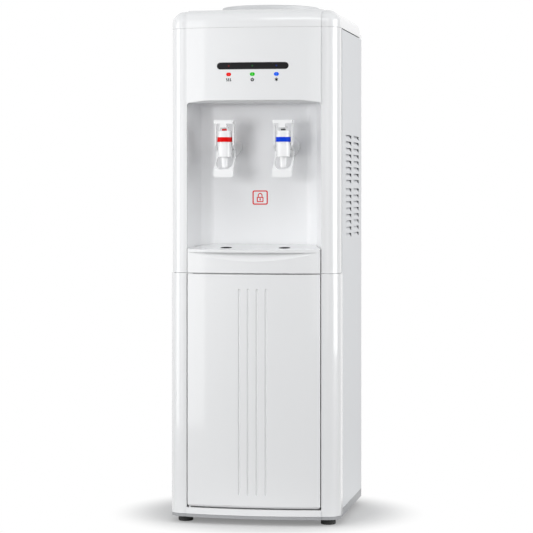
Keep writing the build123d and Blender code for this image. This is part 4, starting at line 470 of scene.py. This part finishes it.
for side, name in ((-1, "left_drain_shade_ring"), (1, "right_drain_shade_ring")):
    rings = []
    for radius, drop in ((SLEEVE_OUTER, SLEEVE_DROP), (SLEEVE_OUTER, SLEEVE_HEIGHT),
                         (SLEEVE_INNER, SLEEVE_HEIGHT), (SLEEVE_INNER, SLEEVE_DROP)):
        rings.append(sleeve_ring(side * DRAIN_X, DRAIN_Y, radius, drop))
    count = len(rings[0])
    faces = []
    for a in range(len(rings)):
        b = (a + 1) % len(rings)
        for i in range(count):
            j = (i + 1) % count
            faces.append((a * count + i, a * count + j, b * count + j, b * count + i))
    # Black rubber here paints the shade inside each drain hole
    mesh_object(name, [point for ring in rings for point in ring], faces, materials["black_rubber"],
                "drip_grille")


def larger(tree, first, second):
    """The larger of two values."""
    node = tree.nodes.new("ShaderNodeMath")
    node.operation = "MAXIMUM"
    tree.links.new(first, node.inputs[0])
    tree.links.new(second, node.inputs[1])
    return node.outputs[0]


# World: white where it is seen or mirrored, dimmer as a light
world = bpy.data.worlds.new("studio")
world.use_nodes = True
bpy.context.scene.world = world
sky = world.node_tree
sky.nodes.clear()
sky_out = sky.nodes.new("ShaderNodeOutputWorld")
seen = sky.nodes.new("ShaderNodeBackground")
seen.inputs["Color"].default_value = (1.0, 1.0, 1.0, 1.0)
seen.inputs["Strength"].default_value = 1.0
lit = sky.nodes.new("ShaderNodeBackground")
lit.inputs["Color"].default_value = (0.97, 0.985, 1.0, 1.0)
lit.inputs["Strength"].default_value = 0.5
path = sky.nodes.new("ShaderNodeLightPath")
seen_directly = larger(sky, path.outputs["Is Camera Ray"], path.outputs["Is Transmission Ray"])
seen_at_all = larger(sky, seen_directly, path.outputs["Is Glossy Ray"])
choose = sky.nodes.new("ShaderNodeMixShader")
sky.links.new(seen_at_all, choose.inputs["Fac"])
sky.links.new(lit.outputs[0], choose.inputs[1])
sky.links.new(seen.outputs[0], choose.inputs[2])
sky.links.new(choose.outputs[0], sky_out.inputs["Surface"])

# Floor: a lit grey floor round the feet that takes the real shadows, fading into the white backdrop from one
# distance to another in metres; the grey and its fade by distance from the centre also paint a soft ring of
# shade round the object
FLOOR_LIFT = 0.22
FADE_START = 0.18
FADE_END = 0.3
floor_mesh = bpy.data.meshes.new("floor")
floor_corners = [(-6.0, -6.0, 0.0), (6.0, -6.0, 0.0), (6.0, 9.0, 0.0), (-6.0, 9.0, 0.0)]
floor_mesh.from_pydata(floor_corners, [], [(0, 1, 2, 3)])
floor = bpy.data.objects.new("floor", floor_mesh)
bpy.context.scene.collection.objects.link(floor)
floor_material = bpy.data.materials.new("pale_floor")
floor_material.use_nodes = True
tree = floor_material.node_tree
tree.nodes.clear()
out = tree.nodes.new("ShaderNodeOutputMaterial")
diffuse = tree.nodes.new("ShaderNodeBsdfDiffuse")
diffuse.inputs["Color"].default_value = (0.5, 0.5, 0.5, 1.0)
lift = tree.nodes.new("ShaderNodeEmission")
lift.inputs["Color"].default_value = (1.0, 1.0, 1.0, 1.0)
floor_path = tree.nodes.new("ShaderNodeLightPath")
gain = tree.nodes.new("ShaderNodeMath")
gain.operation = "MULTIPLY"
gain.inputs[1].default_value = FLOOR_LIFT
tree.links.new(floor_path.outputs["Is Camera Ray"], gain.inputs[0])
tree.links.new(gain.outputs[0], lift.inputs["Strength"])
both = tree.nodes.new("ShaderNodeAddShader")
tree.links.new(diffuse.outputs[0], both.inputs[0])
tree.links.new(lift.outputs[0], both.inputs[1])
backdrop = tree.nodes.new("ShaderNodeEmission")
seen_or_mirrored = larger(tree, floor_path.outputs["Is Camera Ray"], floor_path.outputs["Is Glossy Ray"])
tree.links.new(seen_or_mirrored, backdrop.inputs["Strength"])
floor_place = tree.nodes.new("ShaderNodeTexCoord")
from_foot = tree.nodes.new("ShaderNodeVectorMath")
from_foot.operation = "LENGTH"
tree.links.new(floor_place.outputs["Object"], from_foot.inputs[0])
# Fade by distance from the centre: painted shade, a grey ring round the object that turns white further out
fade = tree.nodes.new("ShaderNodeMapRange")
fade.interpolation_type = "SMOOTHSTEP"
fade.inputs["From Min"].default_value = FADE_START
fade.inputs["From Max"].default_value = FADE_END
tree.links.new(from_foot.outputs["Value"], fade.inputs["Value"])
blend = tree.nodes.new("ShaderNodeMixShader")
tree.links.new(fade.outputs["Result"], blend.inputs["Fac"])
tree.links.new(both.outputs[0], blend.inputs[1])
tree.links.new(backdrop.outputs[0], blend.inputs[2])
tree.links.new(blend.outputs[0], out.inputs["Surface"])
floor_mesh.materials.append(floor_material)


def soft_lamp(name, place, target, size, power):
    """Rectangular soft light aimed at a point."""
    data = bpy.data.lights.new(name, "AREA")
    data.shape = "RECTANGLE"
    data.size = size[0]
    data.size_y = size[1]
    data.energy = power
    lamp = bpy.data.objects.new(name, data)
    bpy.context.scene.collection.objects.link(lamp)
    lamp.location = place
    aim = Vector(target) - Vector(place)
    lamp.rotation_euler = aim.to_track_quat("-Z", "Y").to_euler()
    return lamp


# Lamps: place, target, width and height, and power. The key lamp isn't mirrored in the gloss
key = soft_lamp("key_light", (-1.15, -3.1, 0.75), (0.0, 0.0, 0.55), (1.1, 1.0), 40.0)
key.visible_glossy = False
soft_lamp("left_strip", (-0.82, -1.37, 0.71), (-0.108, -0.165, 0.71), (0.25, 1.38), 1.7)
soft_lamp("far_left_light", (-1.25, -0.75, 0.72), (-0.15, -0.14, 0.72), (0.6, 1.38), 6.8)
soft_lamp("right_strip", (1.56, -4.75, 1.3), (0.0, 0.0, 0.6), (1.54, 3.2), 10.0)
soft_lamp("high_light", (0.3, -3.4, 2.9), (0.0, 0.0, 0.5), (1.6, 1.0), 13.0)
soft_lamp("side_light", (2.9, -0.45, 1.1), (0.0, 0.0, 0.5), (2.0, 2.1), 57.0)

# Camera, level and with its image shifted, as fitted to the photograph
CAMERA_TURN = radians(9.84)
CAMERA_DISTANCE = 4.041
CAMERA_SIDE = -0.0027
CAMERA_HEIGHT = 0.6083
IMAGE = 533.0
SENSOR = 36.0
FOCAL_PIXELS = 2157.0
HORIZON_ROW = 187.4
camera_data = bpy.data.cameras.new("camera")
camera_data.sensor_fit = "HORIZONTAL"
camera_data.sensor_width = SENSOR
camera_data.lens = SENSOR * FOCAL_PIXELS / IMAGE
camera_data.shift_y = -(IMAGE / 2 - HORIZON_ROW) / IMAGE
camera_data.clip_end = 40.0
camera = bpy.data.objects.new("camera", camera_data)
bpy.context.scene.collection.objects.link(camera)
look = Vector((-sin(CAMERA_TURN), cos(CAMERA_TURN), 0.0))
across = Vector((cos(CAMERA_TURN), sin(CAMERA_TURN), 0.0))
camera.location = -look * CAMERA_DISTANCE + across * CAMERA_SIDE + Vector((0.0, 0.0, CAMERA_HEIGHT))
camera.rotation_euler = (pi / 2, 0.0, CAMERA_TURN)
bpy.context.scene.camera = camera
bpy.context.scene.view_settings.view_transform = "Standard"
